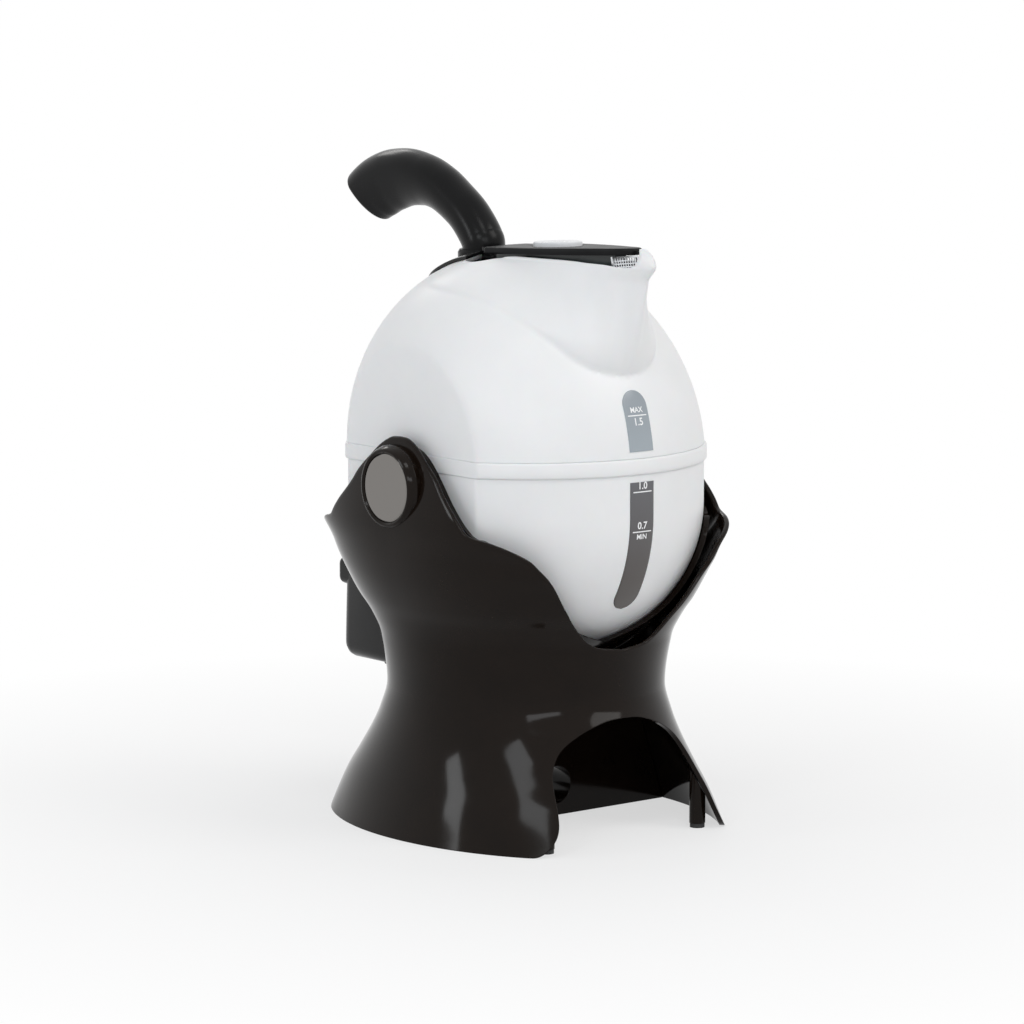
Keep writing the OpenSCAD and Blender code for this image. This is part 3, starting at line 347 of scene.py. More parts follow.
WHITE_SHELL = moulded(
    "white_shell", (0.85, 0.855, 0.86), (0.87, 0.873, 0.876), (0.38, 0.44), peel=0.012,
    Subsurface_Weight=0.08, Subsurface_Scale=0.002, Specular_IOR_Level=0.4,
)
WHITE_BUTTON = moulded(
    "white_button", (0.80, 0.815, 0.83), (0.825, 0.835, 0.845), (0.25, 0.35), peel=0.03,
    edge=0.0009,
)
ACETAL = moulded("acetal", (0.70, 0.68, 0.62), (0.74, 0.72, 0.66), (0.35, 0.45), peel=0.03)
AMBER = moulded(
    "amber", (0.62, 0.20, 0.035), (0.7, 0.25, 0.05), (0.06, 0.1), Transmission_Weight=0.5
)
STEEL = brushed("steel", (0.56, 0.57, 0.58), 0.24, (1, 1, 12))
FILTER = brushed("filter_metal", (0.66, 0.68, 0.70), 0.17, (1, 1, 8))
# Dark teal painted shade for the inside of the white shell near the mouth, which is white but lies
# in shadow; the lid's skirt takes the same colour
MOUTH_SHADE = moulded(
    "mouth_shade", (0.04, 0.052, 0.052), (0.055, 0.07, 0.07), (0.18, 0.26), peel=0.02
)
PRINT = moulded("level_print", (0.86, 0.87, 0.88), (0.9, 0.9, 0.9), (0.35, 0.45), peel=0.0)
BRIGHT_CAP = plated("bright_cap", (0.2, 0.19, 0.18), 0.045)
# ---------------------------------------------------------------- stand

# Foot to waist, then waist to shoulder, as shares: [height, half-width, half-depth, squareness],
# where only the second has a squareness
FLARE = [[0, 0, 0], [0.29, 0.36, 0.25], [0.47, 0.61, 0.47], [0.67, 0.83, 0.72], [0.8, 0.92, 0.86]]
SWELL = [
    [0, 0, 0, 0], [0.29, 0.16, 0.1, 0], [0.43, 0.33, 0.24, 0.2], [0.53, 0.53, 0.37, 0.4],
    [0.68, 0.78, 0.53, 0.6], [0.77, 0.88, 0.65, 0.7], [0.84, 0.94, 0.71, 0.8], [1, 1, 1, 1],
]
SHOULDER_Z, SHOULDER_X = PIVOT_Z - 17.4, EAR_X + 3.2
KINK_Z, EAR_Z, DIP_Z = PIVOT_Z - 17.6, PIVOT_Z + EAR_RISE, PIVOT_Z - DIP_DROP
STAND_ROWS = [
    [WAIST_Z * a, mix(FOOT_X, WAIST_X, b), mix(FOOT_Y, WAIST_Y, c), 2] for a, b, c in FLARE
]
for a, b, c, d in SWELL:
    x, y = mix(WAIST_X, SHOULDER_X, b), mix(WAIST_Y, SHOULDER_Y, c)
    STAND_ROWS.append([mix(WAIST_Z, SHOULDER_Z, a), x, y, 2 + d / 2])
STAND_ROWS += [
    [PIVOT_Z, EAR_X, SHOULDER_Y + 3.8, 2.5], [EAR_Z + 1, EAR_X - 3.6, SHOULDER_Y + 3.8, 2.5],
]
# Upper edge: [angle from the side, height above the kink as a share of the ear's or the dip's]
RIM = [
    [0, 1], [2.5, 0.993], [5, 0.953], [8, 0.868], [10.6, 0.77], [13, 0.68], [15.5, 0.575],
    [17.7, 0.45], [20.5, 0.32], [23, 0.22], [25.3, 0.125], [28.8, 0], [35, -0.04], [41, -0.095],
    [48, -0.185], [52.5, -0.295], [57, -0.43], [61, -0.6], [66, -0.77], [72.5, -0.91],
    [78.5, -0.97], [90, -1],
]
# Lower edge: [column, angle from the side, share of the arch's height]
ARCH = [
    [0, 0, 0], [40, 44.5, 0], [43, 47.3, 0.03], [46, 49.6, 0.085], [49, 51.6, 0.158],
    [52, 52.6, 0.25], [55, 52.75, 0.367], [58, 52.8, 0.486], [61, 53.3, 0.587],
    [64, 54.9, 0.679], [68, 58.6, 0.782], [73, 65.4, 0.872], [79, 74, 0.947],
    [85, 83.6, 0.994], [90, 90, 1],
]
# The wall stands on the floor up to this angle from the side
FOOT_END = 38
# Columns of a quarter of the wall, as angles from the side
QUARTER = [
    0, 4, 8, 12, 16, 20, 24, 27, 28.8, 31, 36, 40, 43, 46, 49, 52, 55, 58, 61, 64, 68, 73, 79,
    85, 90,
]


def stand_point(h, z, w):
    """Point of the stand's wall at angle h from the side and height z, w inside its outer face."""
    n = curve(STAND_ROWS, z, 3)
    c, s = np.cos(np.radians(h)), np.sin(np.radians(h))
    k = (np.abs(c) ** n + np.abs(s) ** n) ** (-1 / n)
    x, y = curve(STAND_ROWS, z, 1) - w, curve(STAND_ROWS, z, 2) - w
    return np.stack([x * c * k, y * s * k, z + 0 * h], -1)
def all_round(quarter):
    half = quarter + [180 - q for q in quarter[-2:0:-1]]
    return np.array(half + [h + 180 for h in half], float)


def build_stand():
    """Hour-glass wall with ears, dipped rims, arches and bores for the pivots."""
    h = all_round(fine(QUARTER, 0.9))[:, None]
    second = h % 180 > 90
    g = np.where(second, 180 - h % 180, h % 180)
    share = curve(RIM, g)
    hi = KINK_Z + share * np.where(share > 0, EAR_Z - KINK_Z, KINK_Z - DIP_Z)
    # The lower edge is smoothed over a few degrees, which rounds the foot's corner
    soften, fade = 2.4, 2.6
    span = np.linspace(-soften, soften, 13)
    weight = np.cos(span / fade * math.pi / 2) ** 2
    at = np.clip(g[..., None] + span, 0, 90)
    lo = ARCH_H * (curve(ARCH, at, 2) * weight).sum(-1) / weight.sum()
    lo = np.where(g > FOOT_END, lo, 0)
    lean = ((curve(ARCH, at, 1) - at) * weight).sum(-1) / weight.sum()
    shift = lean * np.where(second, -1, 1)
    t = np.linspace(0, 1, 73)[None, :]
    outer = stand_point(h + shift * (1 - t), mix(lo, hi, t), 0)
    t = t[:, ::-2]
    inner = stand_point(h + shift * (1 - t), mix(lo, hi, t), STAND_WALL)
    p = np.concatenate([outer, rounded_lip(outer, inner, 0.9, 8), inner], 1)
    middle = (p + np.roll(p, -1, 0) + np.roll(p, -1, 1) + np.roll(p, (-1, -1), (0, 1))) / 4
    solid = np.hypot(middle[..., 1], middle[..., 2] - PIVOT_Z) > PIVOT_BORE
    add_grid(
        "stand_body", p, "stand", GLOSS_BLACK, "stand_shell", keep=solid
    )
# ---------------------------------------------------------------- lower shell and cradle


def bowl_point(a, z, e):
    """Point of the lower shell, grown by e, at angle a about the upright axis and height z."""
    up = np.clip((BOWL_MID - z) / (BOWL_ROUND + e), 0, 1)
    r = (BOWL_R + e) * np.sqrt(1 - up**2)
    y = r * np.sin(a)
    out = np.abs(r * np.cos(a))
    rho = np.hypot(y, z - PIVOT_Z)
    lim = FLAT_X + e - CHEEK_FALL * np.maximum(0, rho - CHEEK_R)
    x = np.where(out < 1e-6, 0, soft_min(out, lim, 0.6)) * np.sign(np.cos(a))
    x = np.where(out < CHEEK_FROM, out * np.sign(np.cos(a)), x)
    return np.stack([x, y, z + 0 * a], -1)


def build_bowl():
    """Lower shell: its round part up to BOWL_MID, then its straight band."""
    a = np.radians(np.arange(0, 360, 1.0))[:, None]
    low = math.asin((BOWL_MID - BASE_Z) / BOWL_ROUND)
    curved = BOWL_MID - BOWL_ROUND * np.sin(low * (1 - np.linspace(0, 1, 70)))
    straight = [mix(BOWL_MID, BOWL_TOP, i / 8) for i in range(1, 9)]
    z = np.concatenate([curved, straight])[None, :]
    p = np.concatenate([bowl_point(a, z, 0), bowl_point(a, z[:, ::-4], -SHELL_WALL)], 1)
    add_grid("kettle_bowl", p, "kettle", WHITE_SHELL, "lower_shell")


# Height of the cradle's edge above the pivot: its rim by x, and its ears by y
CUP_RIM = [
    [0, -69], [9, -66.5], [20, -62.2], [33, -55], [44, -44.5], [52, -35], [58, -28], [66, -19],
    [80, -19],
]
CUP_EAR = [
    [0, 18], [8, 16.8], [14, 13.8], [19, 9.4], [25, 2.6], [32, -5.8], [40, -13.4], [46, -17.6],
    [52, -22], [60, -31], [72, -60],
]


def above_cup(q):
    """Whether points of the cradle's wall are above its edge."""
    x, y = np.abs(q[..., 0]), q[..., 1]
    rim = curve(CUP_RIM, x)
    rim = np.where((y > 0) & (x < NECK_HALF + 8), np.maximum(rim, NECK_TOP), rim)
    ear = np.where(x > CHEEK_X - 9, curve(CUP_EAR, np.abs(y)), -200)
    return q[..., 2] > PIVOT_Z + np.maximum(rim, ear)


def build_cup():
    """The cradle: each upright line of its wall ends where it meets the edge."""
    a = np.radians(np.arange(0, 360, 0.75))
    e = CUP_GAP + CUP_WALL
    base = BASE_Z - e
    # The first step of a scan that is above the edge, then halved down to the edge itself
    scan_low, scan_high = base + 2, PIVOT_Z + 25
    scan = np.linspace(scan_low, scan_high, 400)
    first = above_cup(bowl_point(a[:, None], scan[None, :], e)).argmax(1)
    lo, hi = scan[np.maximum(first - 1, 0)], scan[first]
    for _ in range(14):
        middle = (lo + hi) / 2
        above = above_cup(bowl_point(a, middle, e))
        lo, hi = np.where(above, lo, middle), np.where(above, middle, hi)
    top, a = lo[:, None], a[:, None]
    low = math.asin((BOWL_MID - base) / (BOWL_ROUND + e))
    high = np.arcsin(np.clip((BOWL_MID - top) / (BOWL_ROUND + e), 0, 1))
    high = np.where(top < BOWL_MID, high, 0)
    z = BOWL_MID - (BOWL_ROUND + e) * np.sin(mix(low, high, np.linspace(0, 1, 60)[None, :]))
    z = np.where(top < BOWL_MID, z, base + (z - base) * (top - base) / (BOWL_MID - base))
    outer = bowl_point(a, z, e)
    inner = bowl_point(a, z, CUP_GAP)[:, ::-1]
    floor = BASE_Z - CUP_GAP
    inner[..., 2] = np.maximum(inner[..., 2], floor)
    hole = [
        np.stack([CUP_HOLE * np.cos(a), CUP_HOLE * np.sin(a), np.full_like(a, level)], -1)
        for level in (floor, base)
    ]
    p = np.concatenate([outer, inner, *hole], 1)
    add_grid("cradle_body", p, "cradle", GLOSS_BLACK, "cradle_cup")
    rounded_block(
        "cradle_neck", (-NECK_HALF, NECK_FRONT, PIVOT_Z + NECK_LOW),
        (NECK_HALF, NECK_BACK, PIVOT_Z + NECK_TOP), 1.5, "cradle", GLOSS_BLACK,
    )
# ---------------------------------------------------------------- upper shell

# Depth below the apex at which the spout's wall leaves the dome: [angle from the spout, depth]
CREASE = [
    [0, -49.8], [5, -49.2], [10.3, -47.8], [18.7, -42.8], [27.5, -34.6], [40, -25.6], [56.4, -19],
    [78.5, -15.8], [101, -14.5], [125, -12], [180, -9],
]
# Radius of the mouth's edge: [angle from the spout, share of the way to the spout's reach]
MOUTH_SHARE = [
    [0, 1], [1, 0.984], [2, 0.956], [3.2, 0.913], [5, 0.841], [8, 0.722], [12, 0.561],
    [16, 0.443], [21, 0.332], [27, 0.237], [34, 0.158], [41, 0.102], [47, 0.067], [55, 0.034],
    [67, 0.008], [84, 0], [102, -0.03], [110, -0.05], [117, -0.07], [123, -0.094], [131, -0.127],
    [146, -0.152], [163, -0.17], [180, -0.178],
]
# Rise of the spout's wall: [angle from the spout, power]
WALL_POWER = [[0, 0.8], [10, 0.9], [16, 1.1], [27, 1.25], [50, 1.35], [100, 1.3], [130, 1]]
# How the wall swells between its foot and the lip, and how far the lip flares: [angle, distance]
BULGE = [
    [0, 0.5], [3, 1.6], [5, 3], [8, 5.2], [12, 6.8], [16, 6.4], [21, 4.8], [27, 3.2], [34, 1.6],
    [45, 0.4], [56, 0],
]
FLARE_OUT = [[0, 4], [3, 4], [8, 2], [16, 1], [27, 0.5], [50, 0]]
# How far the spout's tip curls back: [height above the apex, distance]
CURL = [[-4.4, 0], [-2, 0.1], [0, 0.5], [2, 1.4], [3.7, 2.9], [5.4, 5.6], [6.5, 8.6]]
# Depth of the mouth's edge below the apex: [angle from the spout, depth]
MOUTH = [
    [0, -BEAK_RISE], [1, -BEAK_RISE + 0.35], [2.1, -3], [2.8, 0], [3.5, 1.9], [5, 2.4], [8.7, 1.4],
    [17.5, 0.6], [37, 0.5], [60, 1.3], [90, 3.2], [113, 3.2], [130, 1.5], [150, 0.9], [180, 0.7],
]
# Columns of half of the upper shell, as angles from the spout
SHELL_HALF = [
    0, 1, 2, 3.2, 5, 8, 12, 16, 21, 27, 34, 41, 47, 51, 55, 60, 67, 75, 84, 93, 102, 110, 117,
    123, 127, 131, 138, 146, 154, 163, 172, 180,
]


def dome_y(z):
    """How far back the dome's middle is at height z."""
    return DOME_LEAN * (z - BELT_Z)


def dome_radius(z, e):
    return (DOME_R + e) * np.sqrt(np.maximum(0.001, 1 - ((z - BELT_Z) / (DOME_H + e)) ** 2))


def ease(t, a, b):
    """Smooth step from 0 at a to 1 at b."""
    u = np.clip((t - a) / (b - a), 0, 1)
    return u * u * (3 - 2 * u)


def shell_point(h, z, e):
    """Point of the upper shell at angle h from the spout and height z, grown by e."""
    a = np.where(h > 180, 360 - h, h)
    foot, top = APEX_Z + curve(CREASE, a), APEX_Z - 1.5
    low = dome_radius(foot, e)
    rim = mix(MOUTH_HALF, SPOUT_REACH + BEAK_OVER, curve(MOUTH_SHARE, a)) + e
    t = np.clip((z - foot) / (top - foot), 0, 1)
    lip = curve(FLARE_OUT, a)
    wall = (
        low
        + (rim - lip - low) * t ** curve(WALL_POWER, a)
        + curve(BULGE, a) * (1 - (1 - t) ** 6) * (1 - t**3)
        + lip * ease(z, APEX_Z - 8.5, top)
        - curve(CURL, z - APEX_Z)
    )
    dome = dome_radius(z, e)
    facet = mix(dome, wall, ease(z, foot - 1.5, foot + 1.5))
    r = mix(facet, soft_max(dome, wall, 0.6), ease(a, 95, 125))
    a = np.radians(a)
    x = soft_min(r * np.sin(a), FLAT_X + e, 1)
    return np.stack([np.where(h > 180, -x, x), dome_y(z) - r * np.cos(a), z + 0 * a], -1)


def build_dome():
    """Upper shell with its spout, as one wall with a round edge and painted shade inside the
    mouth.
    """
    half = fine(SHELL_HALF, 0.9)
    h = np.array(half + [360 - v for v in half[-2:0:-1]])[:, None]
    edge = APEX_Z - curve(MOUTH, np.where(h > 180, 360 - h, h)) - 0.35 * SHELL_WALL / 2
    # Rows of the wall crowd towards the mouth
    crowd = 84
    t = np.sin(np.radians(crowd * np.linspace(0, 1, 80))) / math.sin(math.radians(crowd))
    outer = shell_point(h, mix(SHELL_Z, edge, t[None, :]), 0)
    z = mix(SHELL_Z, edge, t[None, ::-3])
    # The inner wall sinks behind the spout, and thins at the beak's tip
    behind = np.clip((np.abs(180 - h) - 140) / -50, 0, 1)
    drop = SHELL_WALL * (z - SHELL_Z) / (APEX_Z - SHELL_Z) * behind
    wall = mix(SHELL_WALL, 1.3, ease(z, APEX_Z, APEX_Z + 5))
    inner = shell_point(h, z - drop, -wall)
    lip = rounded_lip(outer, inner, 0.55 * SHELL_WALL / 2, 10)
    p = np.concatenate([outer, lip, inner], 1)
    dome = add_grid(
        "kettle_dome", p, "kettle", WHITE_SHELL, "upper_shell", sharp=50
    )
    # Inner faces down to 26 mm below the apex take the painted shade
    dome.data.materials.append(MOUTH_SHADE)
    nv, height = p.shape[1], p[..., 2].ravel()
    first, shade_low = outer.shape[1] + lip.shape[1], APEX_Z - 26
    for i, face in enumerate(dome.data.polygons):
        if first <= i % nv < nv - 1 and height[face.vertices[0]] > shade_low:
            face.material_index = 1
# ---------------------------------------------------------------- belt, windows and marks


def build_belt():
    """Band round the shells' joint, with rounded edges."""
    a = np.radians(np.arange(0, 360, 1.0))[:, None]
    proud, top = BELT_PROUD, BOWL_TOP + BELT_H
    # Section: [height, distance outside the lower shell]
    section = [
        (BOWL_TOP, -SHELL_WALL), (BOWL_TOP, proud - 0.9), (BOWL_TOP + 0.25, proud - 0.3),
        (BOWL_TOP + 0.9, proud), (BOWL_TOP + 2.6, proud), (top - 0.9, proud),
        (top - 0.25, proud - 0.3), (top, proud - 0.9), (top, -SHELL_WALL),
    ]
    rows = []
    for z, e in section:
        x, y = (BOWL_R + e) * np.cos(a), (BOWL_R + e) * np.sin(a)
        out, lim = np.abs(x), FLAT_X + min(e, CUP_GAP / 2)
        x = np.sign(x) * np.where(out < CHEEK_FROM, out, soft_min(out, lim, 0.4))
        rows.append(np.concatenate([x, y, z + 0 * a], 1))
    add_grid(
        "kettle_belt", np.stack(rows, 1), "kettle", WHITE_SHELL, "belt_ring",
        sharp=50,
    )
def on_dome(x, z, e):
    """Front of the upper shell at x and height z, grown by e."""
    r = dome_radius(z, e)
    return np.stack([x, dome_y(z) - np.sqrt(r * r - x * x), z], -1)


def on_bowl(x, z, e):
    """Front of the lower shell at x and height z, grown by e."""
    up = np.clip((BOWL_MID - z) / (BOWL_ROUND + e), 0, 1)
    r = (BOWL_R + e) * np.sqrt(1 - up**2)
    return np.stack([x, -np.sqrt(r * r - x * x), z], -1)


def build_window(name, place, low, high, round_top, material, node):
    """Strip with one round end; its edge turns down into the shell."""
    flat = [WINDOW_PROUD] * 15
    across = np.array([-1, -1, -0.96, *np.linspace(-0.85, 0.85, 13), 0.96, 1, 1])
    raised = np.array([-1.2, 0.1, *flat, 0.1, -1.2])
    rows = []
    for z in np.linspace(low, high, 90):
        short = max(0, WINDOW_HALF - ((high - z) if round_top else (z - low)))
        half = math.sqrt(max(WINDOW_HALF**2 - short**2, 1e-4))
        rows.append(place(half * across, np.full_like(across, z), raised))
    p = np.stack(rows, 0)
    nu, nv = p.shape[:2]
    faces = grid_faces(nu, nv, close_u=False, close_v=False)
    faces.append(tuple(range(nv)))
    faces.append(tuple((nu - 1) * nv + j for j in range(nv - 1, -1, -1)))
    add_mesh(name, p.reshape(-1, 3), faces, "kettle", material, node, sharp=40)


def build_mark(name, text, place, z, size):
    """A printed level mark, laid on the window's curved face."""
    font = bpy.data.curves.new(name, "FONT")
    font.body, font.size, font.align_x, font.align_y = text, size, "CENTER", "CENTER"
    font.resolution_u, font.offset = 3, 0.02 * size
    holder = bpy.data.objects.new(name + "_text", font)
    bpy.context.scene.collection.objects.link(holder)
    bpy.context.view_layer.update()
    mesh = holder.evaluated_get(bpy.context.evaluated_depsgraph_get()).to_mesh()
    flat = np.array([v.co for v in mesh.vertices])
    faces = [tuple(p.vertices) for p in mesh.polygons]
    bpy.data.objects.remove(holder)
    verts = place(flat[:, 0], flat[:, 1] + z, MARK_PROUD)
    add_mesh(name, verts, faces, "kettle", PRINT, sharp=0)


def build_line(name, place, z):
    """A printed level line, laid on the window's curved face."""
    n = 17
    x = np.linspace(-LINE_HALF, LINE_HALF, n)
    edges = [place(x, np.full(n, z + side * LINE_THICK / 2), MARK_PROUD) for side in (-1, 1)]
    faces = [(i, i + 1, n + 1 + i, n + i) for i in range(n - 1)]
    add_mesh(name, np.concatenate(edges), faces, "kettle", PRINT, sharp=0)


def build_windows():
    """Both level windows, and their marks in litres."""
    upper, lower = SHELL_Z + WINDOW_GAP, BOWL_TOP - WINDOW_GAP - LOWER_WINDOW_H
    upper_top, lower_top = upper + UPPER_WINDOW_H, lower + LOWER_WINDOW_H
    light = smoked("window_light", (0.30, 0.335, 0.365), (0.36, 0.405, 0.44), upper_top, upper)
    dark = smoked(
        "window_dark", (0.125, 0.125, 0.135), (0.085, 0.075, 0.07), lower_top, lower + 15
    )
    build_window(
        "window_upper", on_dome, upper, upper_top, True, light, "upper_window"
    )
    build_window(
        "window_lower", on_bowl, lower, lower_top, False, dark, "lower_window"
    )
    build_line("mark_line_15", on_dome, 189)
    build_mark("mark_max", "MAX", on_dome, 191.3, WORD_SIZE)
    build_mark("mark_15", "1.5", on_dome, 186.2, NUMBER_SIZE)
    build_line("mark_line_10", on_bowl, 156)
    build_mark("mark_10", "1.0", on_bowl, 158.6, NUMBER_SIZE)
    build_line("mark_line_07", on_bowl, 138.5)
    build_mark("mark_07", "0.7", on_bowl, 141.1, NUMBER_SIZE)
    build_mark("mark_min", "MIN", on_bowl, 136.2, WORD_SIZE)
# ---------------------------------------------------------------- handle

# Axis of the handle: [share of its reach, share of its rise], at even steps along it
HANDLE = [
    [0, 0], [0, 0.25], [0.016, 0.33], [0.066, 0.48], [0.13, 0.63], [0.22, 0.77], [0.33, 0.9],
    [0.45, 0.975], [0.58, 1], [0.71, 0.97], [0.835, 0.88], [0.93, 0.75], [1, 0.6],
]
# The grip ends at this share of the axis
GRIP_END = 0.932
# Depth of the grip below its axis: [share of the way along, millimetres]
UNDER = [
    [0, 9.7], [0.3, 9.7], [0.42, 9.9], [0.52, 11.2], [0.62, 13.6], [0.72, 16.6], [0.82, 19.1],
    [0.92, 20.2], [1, 20],
]


def handle_at(t):
    """Point of the handle's axis, as (y, z)."""
    u = t * (len(HANDLE) - 1)
    keys = [[i, *k] for i, k in enumerate(HANDLE)]
    return np.array([
        COLLAR_Y + (HANDLE_REACH - COLLAR_Y) * curve(keys, u, 1),
        APEX_Z - 9 + HANDLE_RISE * curve(keys, u, 2),
    ])


def grip_lift(t):
    """How far the grip lies above the axis: less at its bend, more at its heel."""
    heel = 1.8 * max(0, (t - 0.6) / 0.4) ** 1.5
    bend = 2.7 * math.exp(-(((t - 0.45) / 0.22) ** 2))
    return (heel - bend) * float(ease(t, 0, 0.15))


def build_handle():
    """Grip that deepens into a blunt heel, with a rounded end."""
    a = np.radians(np.arange(0, 360, 5))
    end_round, end_out = 2.2, 1.6
    rows = []
    for t, end in [(t, 0) for t in np.linspace(0, 1, 150)] + [(1, k / 8) for k in range(1, 9)]:
        at = GRIP_END * t
        n = handle_at(min(at + 0.02, 1)) - handle_at(max(at - 0.02, 0))
        n = np.array([0, 1]) if t == 0 else n / np.linalg.norm(n)
        under = float(curve(UNDER, t))
        wide = HANDLE_R * (1 + 0.08 * (under - HANDLE_R) / 10)
        inset = end_round * (1 - math.cos(end * math.pi / 2))
        p = handle_at(at) + [0, grip_lift(t)] + n * end_out * math.sin(end * math.pi / 2)
        up = np.sin(a) * np.where(np.sin(a) > 0, HANDLE_R - inset, under - inset)
        # The heel's lower side leans back
        back = 0.07 * np.minimum(up, 0) * float(ease(t, 0.75, 1))
        rows.append(np.stack([
            (wide - inset) * np.cos(a), p[0] - n[1] * up + n[0] * back,
            p[1] + n[0] * up + n[1] * back,
        ], 1))
    add_grid(
        "handle_grip", np.stack(rows, 0), "kettle", GRIP_BLACK, "handle",
        sharp=45, ends="u",
    )
# ---------------------------------------------------------------- lid

# Half-width of the lid: [share of the way from the nose to the hinge, share of the width]
LID = [
    [0, 0.02], [0.004, 0.12], [0.03, 0.24], [0.08, 0.35], [0.155, 0.45], [0.3, 0.66],
    [0.45, 0.83], [0.62, 0.95], [0.8, 1], [1, 1],
]
# Top of the lid at its back edge, its slope, and the notch beside the hinge's knuckle
LID_TOP, LID_SLOPE, NOTCH_X, NOTCH_Y = APEX_Z + 2.4, 0.0417, 8.7, 5.2


def on_lid(xy, z):
    """Points of the lid's plane, z above the lid's top face."""
    x, y = xy.T
    return np.stack([x, y, LID_TOP + (LID_BACK - y) * LID_SLOPE + z], -1)


def lid_reach(angles):
    """Distance from the button's middle to the lid's edge, at angles from the nose."""
    s = np.linspace(0, 1, 1500) ** 2
    x, y = LID_HALF * curve(LID, s), s * (LID_BACK + LID_REACH - 1) - LID_REACH + 1
    front = y < NOTCH_Y
    edge = [(0, y[0]), *zip(x[front], y[front])]
    edge += [(v, NOTCH_Y) for v in np.linspace(edge[-1][0], NOTCH_X, 60)]
    edge += [(NOTCH_X, v) for v in np.linspace(NOTCH_Y, LID_BACK, 20)]
    edge += [(v, LID_BACK) for v in np.linspace(NOTCH_X, 0, 60)]
    x, y = np.array(edge).T
    return reach_round(x, BUTTON_AT - y, angles)


def build_lid():
    """Lid plate with an oval hole, and the press button in the hole."""
    t = np.radians(np.arange(0, 360, 1.0))
    way, middle = np.stack([np.sin(t), -np.cos(t)], 1), [0, BUTTON_AT]

    def oval(rx, ry):
        return way / np.sqrt((way[:, :1] / rx) ** 2 + (way[:, 1:] / ry) ** 2)

    gap, proud = 0.35, 2.1
    rx, ry = BUTTON_X - 0.4 + gap, BUTTON_Y - 0.5 + gap
    inner, outer = oval(rx, ry) + middle, way * lid_reach(t)[:, None] + middle
    away = outer - inner
    away /= np.linalg.norm(away, axis=1)[:, None]
    # Section of the plate: [share of the way from the hole to the edge, distance beyond, height]
    section = [
        (0, 0, -LID_T), (0, 0, -0.5), (0, 0.15, -0.15), (0, 0.5, 0), (0.25, 0, 0), (0.5, 0, 0),
        (0.75, 0, 0), (1, -1.3, 0), (1, -0.6, -0.12), (1, -0.2, -0.45), (1, 0, -1.0),
        (1, 0, -LID_T + 0.4), (1, -0.4, -LID_T), (0.5, 0, -LID_T),
    ]
    rows = [on_lid(mix(inner, outer, share) + away * beyond, z) for share, beyond, z in section]
    add_grid("lid_plate", np.stack(rows, 1), "lid", LID_BLACK, "lid", sharp=50)
    # Section of the button, with a rounded brow and a slight crown: [share of its size, height]
    section = [
        (1, -2.0), (1, proud - 0.9), (0.992, proud - 0.5), (0.972, proud - 0.22),
        (0.94, proud - 0.08), (0.88, proud), (0.6, proud + 0.06), (0.3, proud + 0.08),
        (0.02, proud + 0.09),
    ]
    rows = [on_lid(oval(rx - gap, ry - gap) * share + middle, z) for share, z in section]
    add_grid(
        "lid_press", np.stack(rows, 1), "button", WHITE_BUTTON, "lid_button",
        sharp=50, ends="v",
    )


def build_spring():
    """Coil under the button."""
    turns, steps, sides = 4, 28, 10
    wire, coil, low, high = 0.45, 4, 250.3, 257.05
    b = 2 * np.pi * np.arange(sides) / sides
    rows = []
    for i in range(turns * steps + 1):
        a = 2 * math.pi * i / steps
        r = coil + wire * np.cos(b)
        z = mix(low + wire, high - wire, i / (turns * steps)) + wire * np.sin(b)
        rows.append(np.stack([r * math.cos(a), BUTTON_AT + r * math.sin(a), z], 1))
    spring = add_grid(
        "press_spring", np.stack(rows, 0), "lid", STEEL, "button_spring", ends="u"
    )
    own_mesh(spring)
# ---------------------------------------------------------------- filter and switch pod


def build_filter():
    """Fine metal grid in a frame across the spout, leaning with it."""
    half, low, high, y = 7.4, APEX_Z - 8.4, APEX_Z + 2.3, -69.4
    edge, bar, lean = 0.9, 0.5, math.radians(-12)
    bars = [
        ((-half, y - 0.5, low), (half, y + 0.5, low + edge)),
        ((-half, y - 0.5, high - edge), (half, y + 0.5, high)),
        ((-half, y - 0.5, low + edge), (edge - half, y + 0.5, high - edge)),
        ((half - edge, y - 0.5, low + edge), (half, y + 0.5, high - edge)),
    ]
    for x in np.linspace(-half + 2, half - 2, 9):
        bars.append(((x - bar / 2, y - 0.3, low + edge), (x + bar / 2, y + 0.1, high - edge)))
    for z in np.linspace(low + 2, high - 2, 6):
        bars.append(((edge - half, y - 0.1, z - bar / 2), (half - edge, y + 0.3, z + bar / 2)))
    verts, faces = [], []
    for corners in bars:
        faces += [tuple(len(verts) + i for i in f) for f in BOX_FACES]
        verts += box_corners(*corners)
    v = np.array(verts, float)
    dy, dz = v[:, 1] - y, v[:, 2] - low
    v[:, 1] = y + dy * math.cos(lean) - dz * math.sin(lean)
    v[:, 2] = low + dy * math.sin(lean) + dz * math.cos(lean)
    add_mesh(
        "filter_grid", v, faces, "kettle", FILTER, "spout_filter", sharp=30
    )


def rounded_reach(half, low, high, r, angles):
    """Distance from the pod's middle to a rounded rectangle, at angles from straight up."""
    points = [(0, high)]
    for z, start in [(high - r, 0), (low + r, 90)]:
        for a in np.radians(np.linspace(start, start + 90, 60)):
            points.append((half - r + r * math.sin(a), z + r * math.cos(a)))
    points.append((0, low))
    sides = [np.linspace(p, q, 40, endpoint=False) for p, q in zip(points[:-1], points[1:])]
    x, z = np.concatenate([*sides, points[-1:]]).T
    return reach_round(x, z - POD_MID, angles)


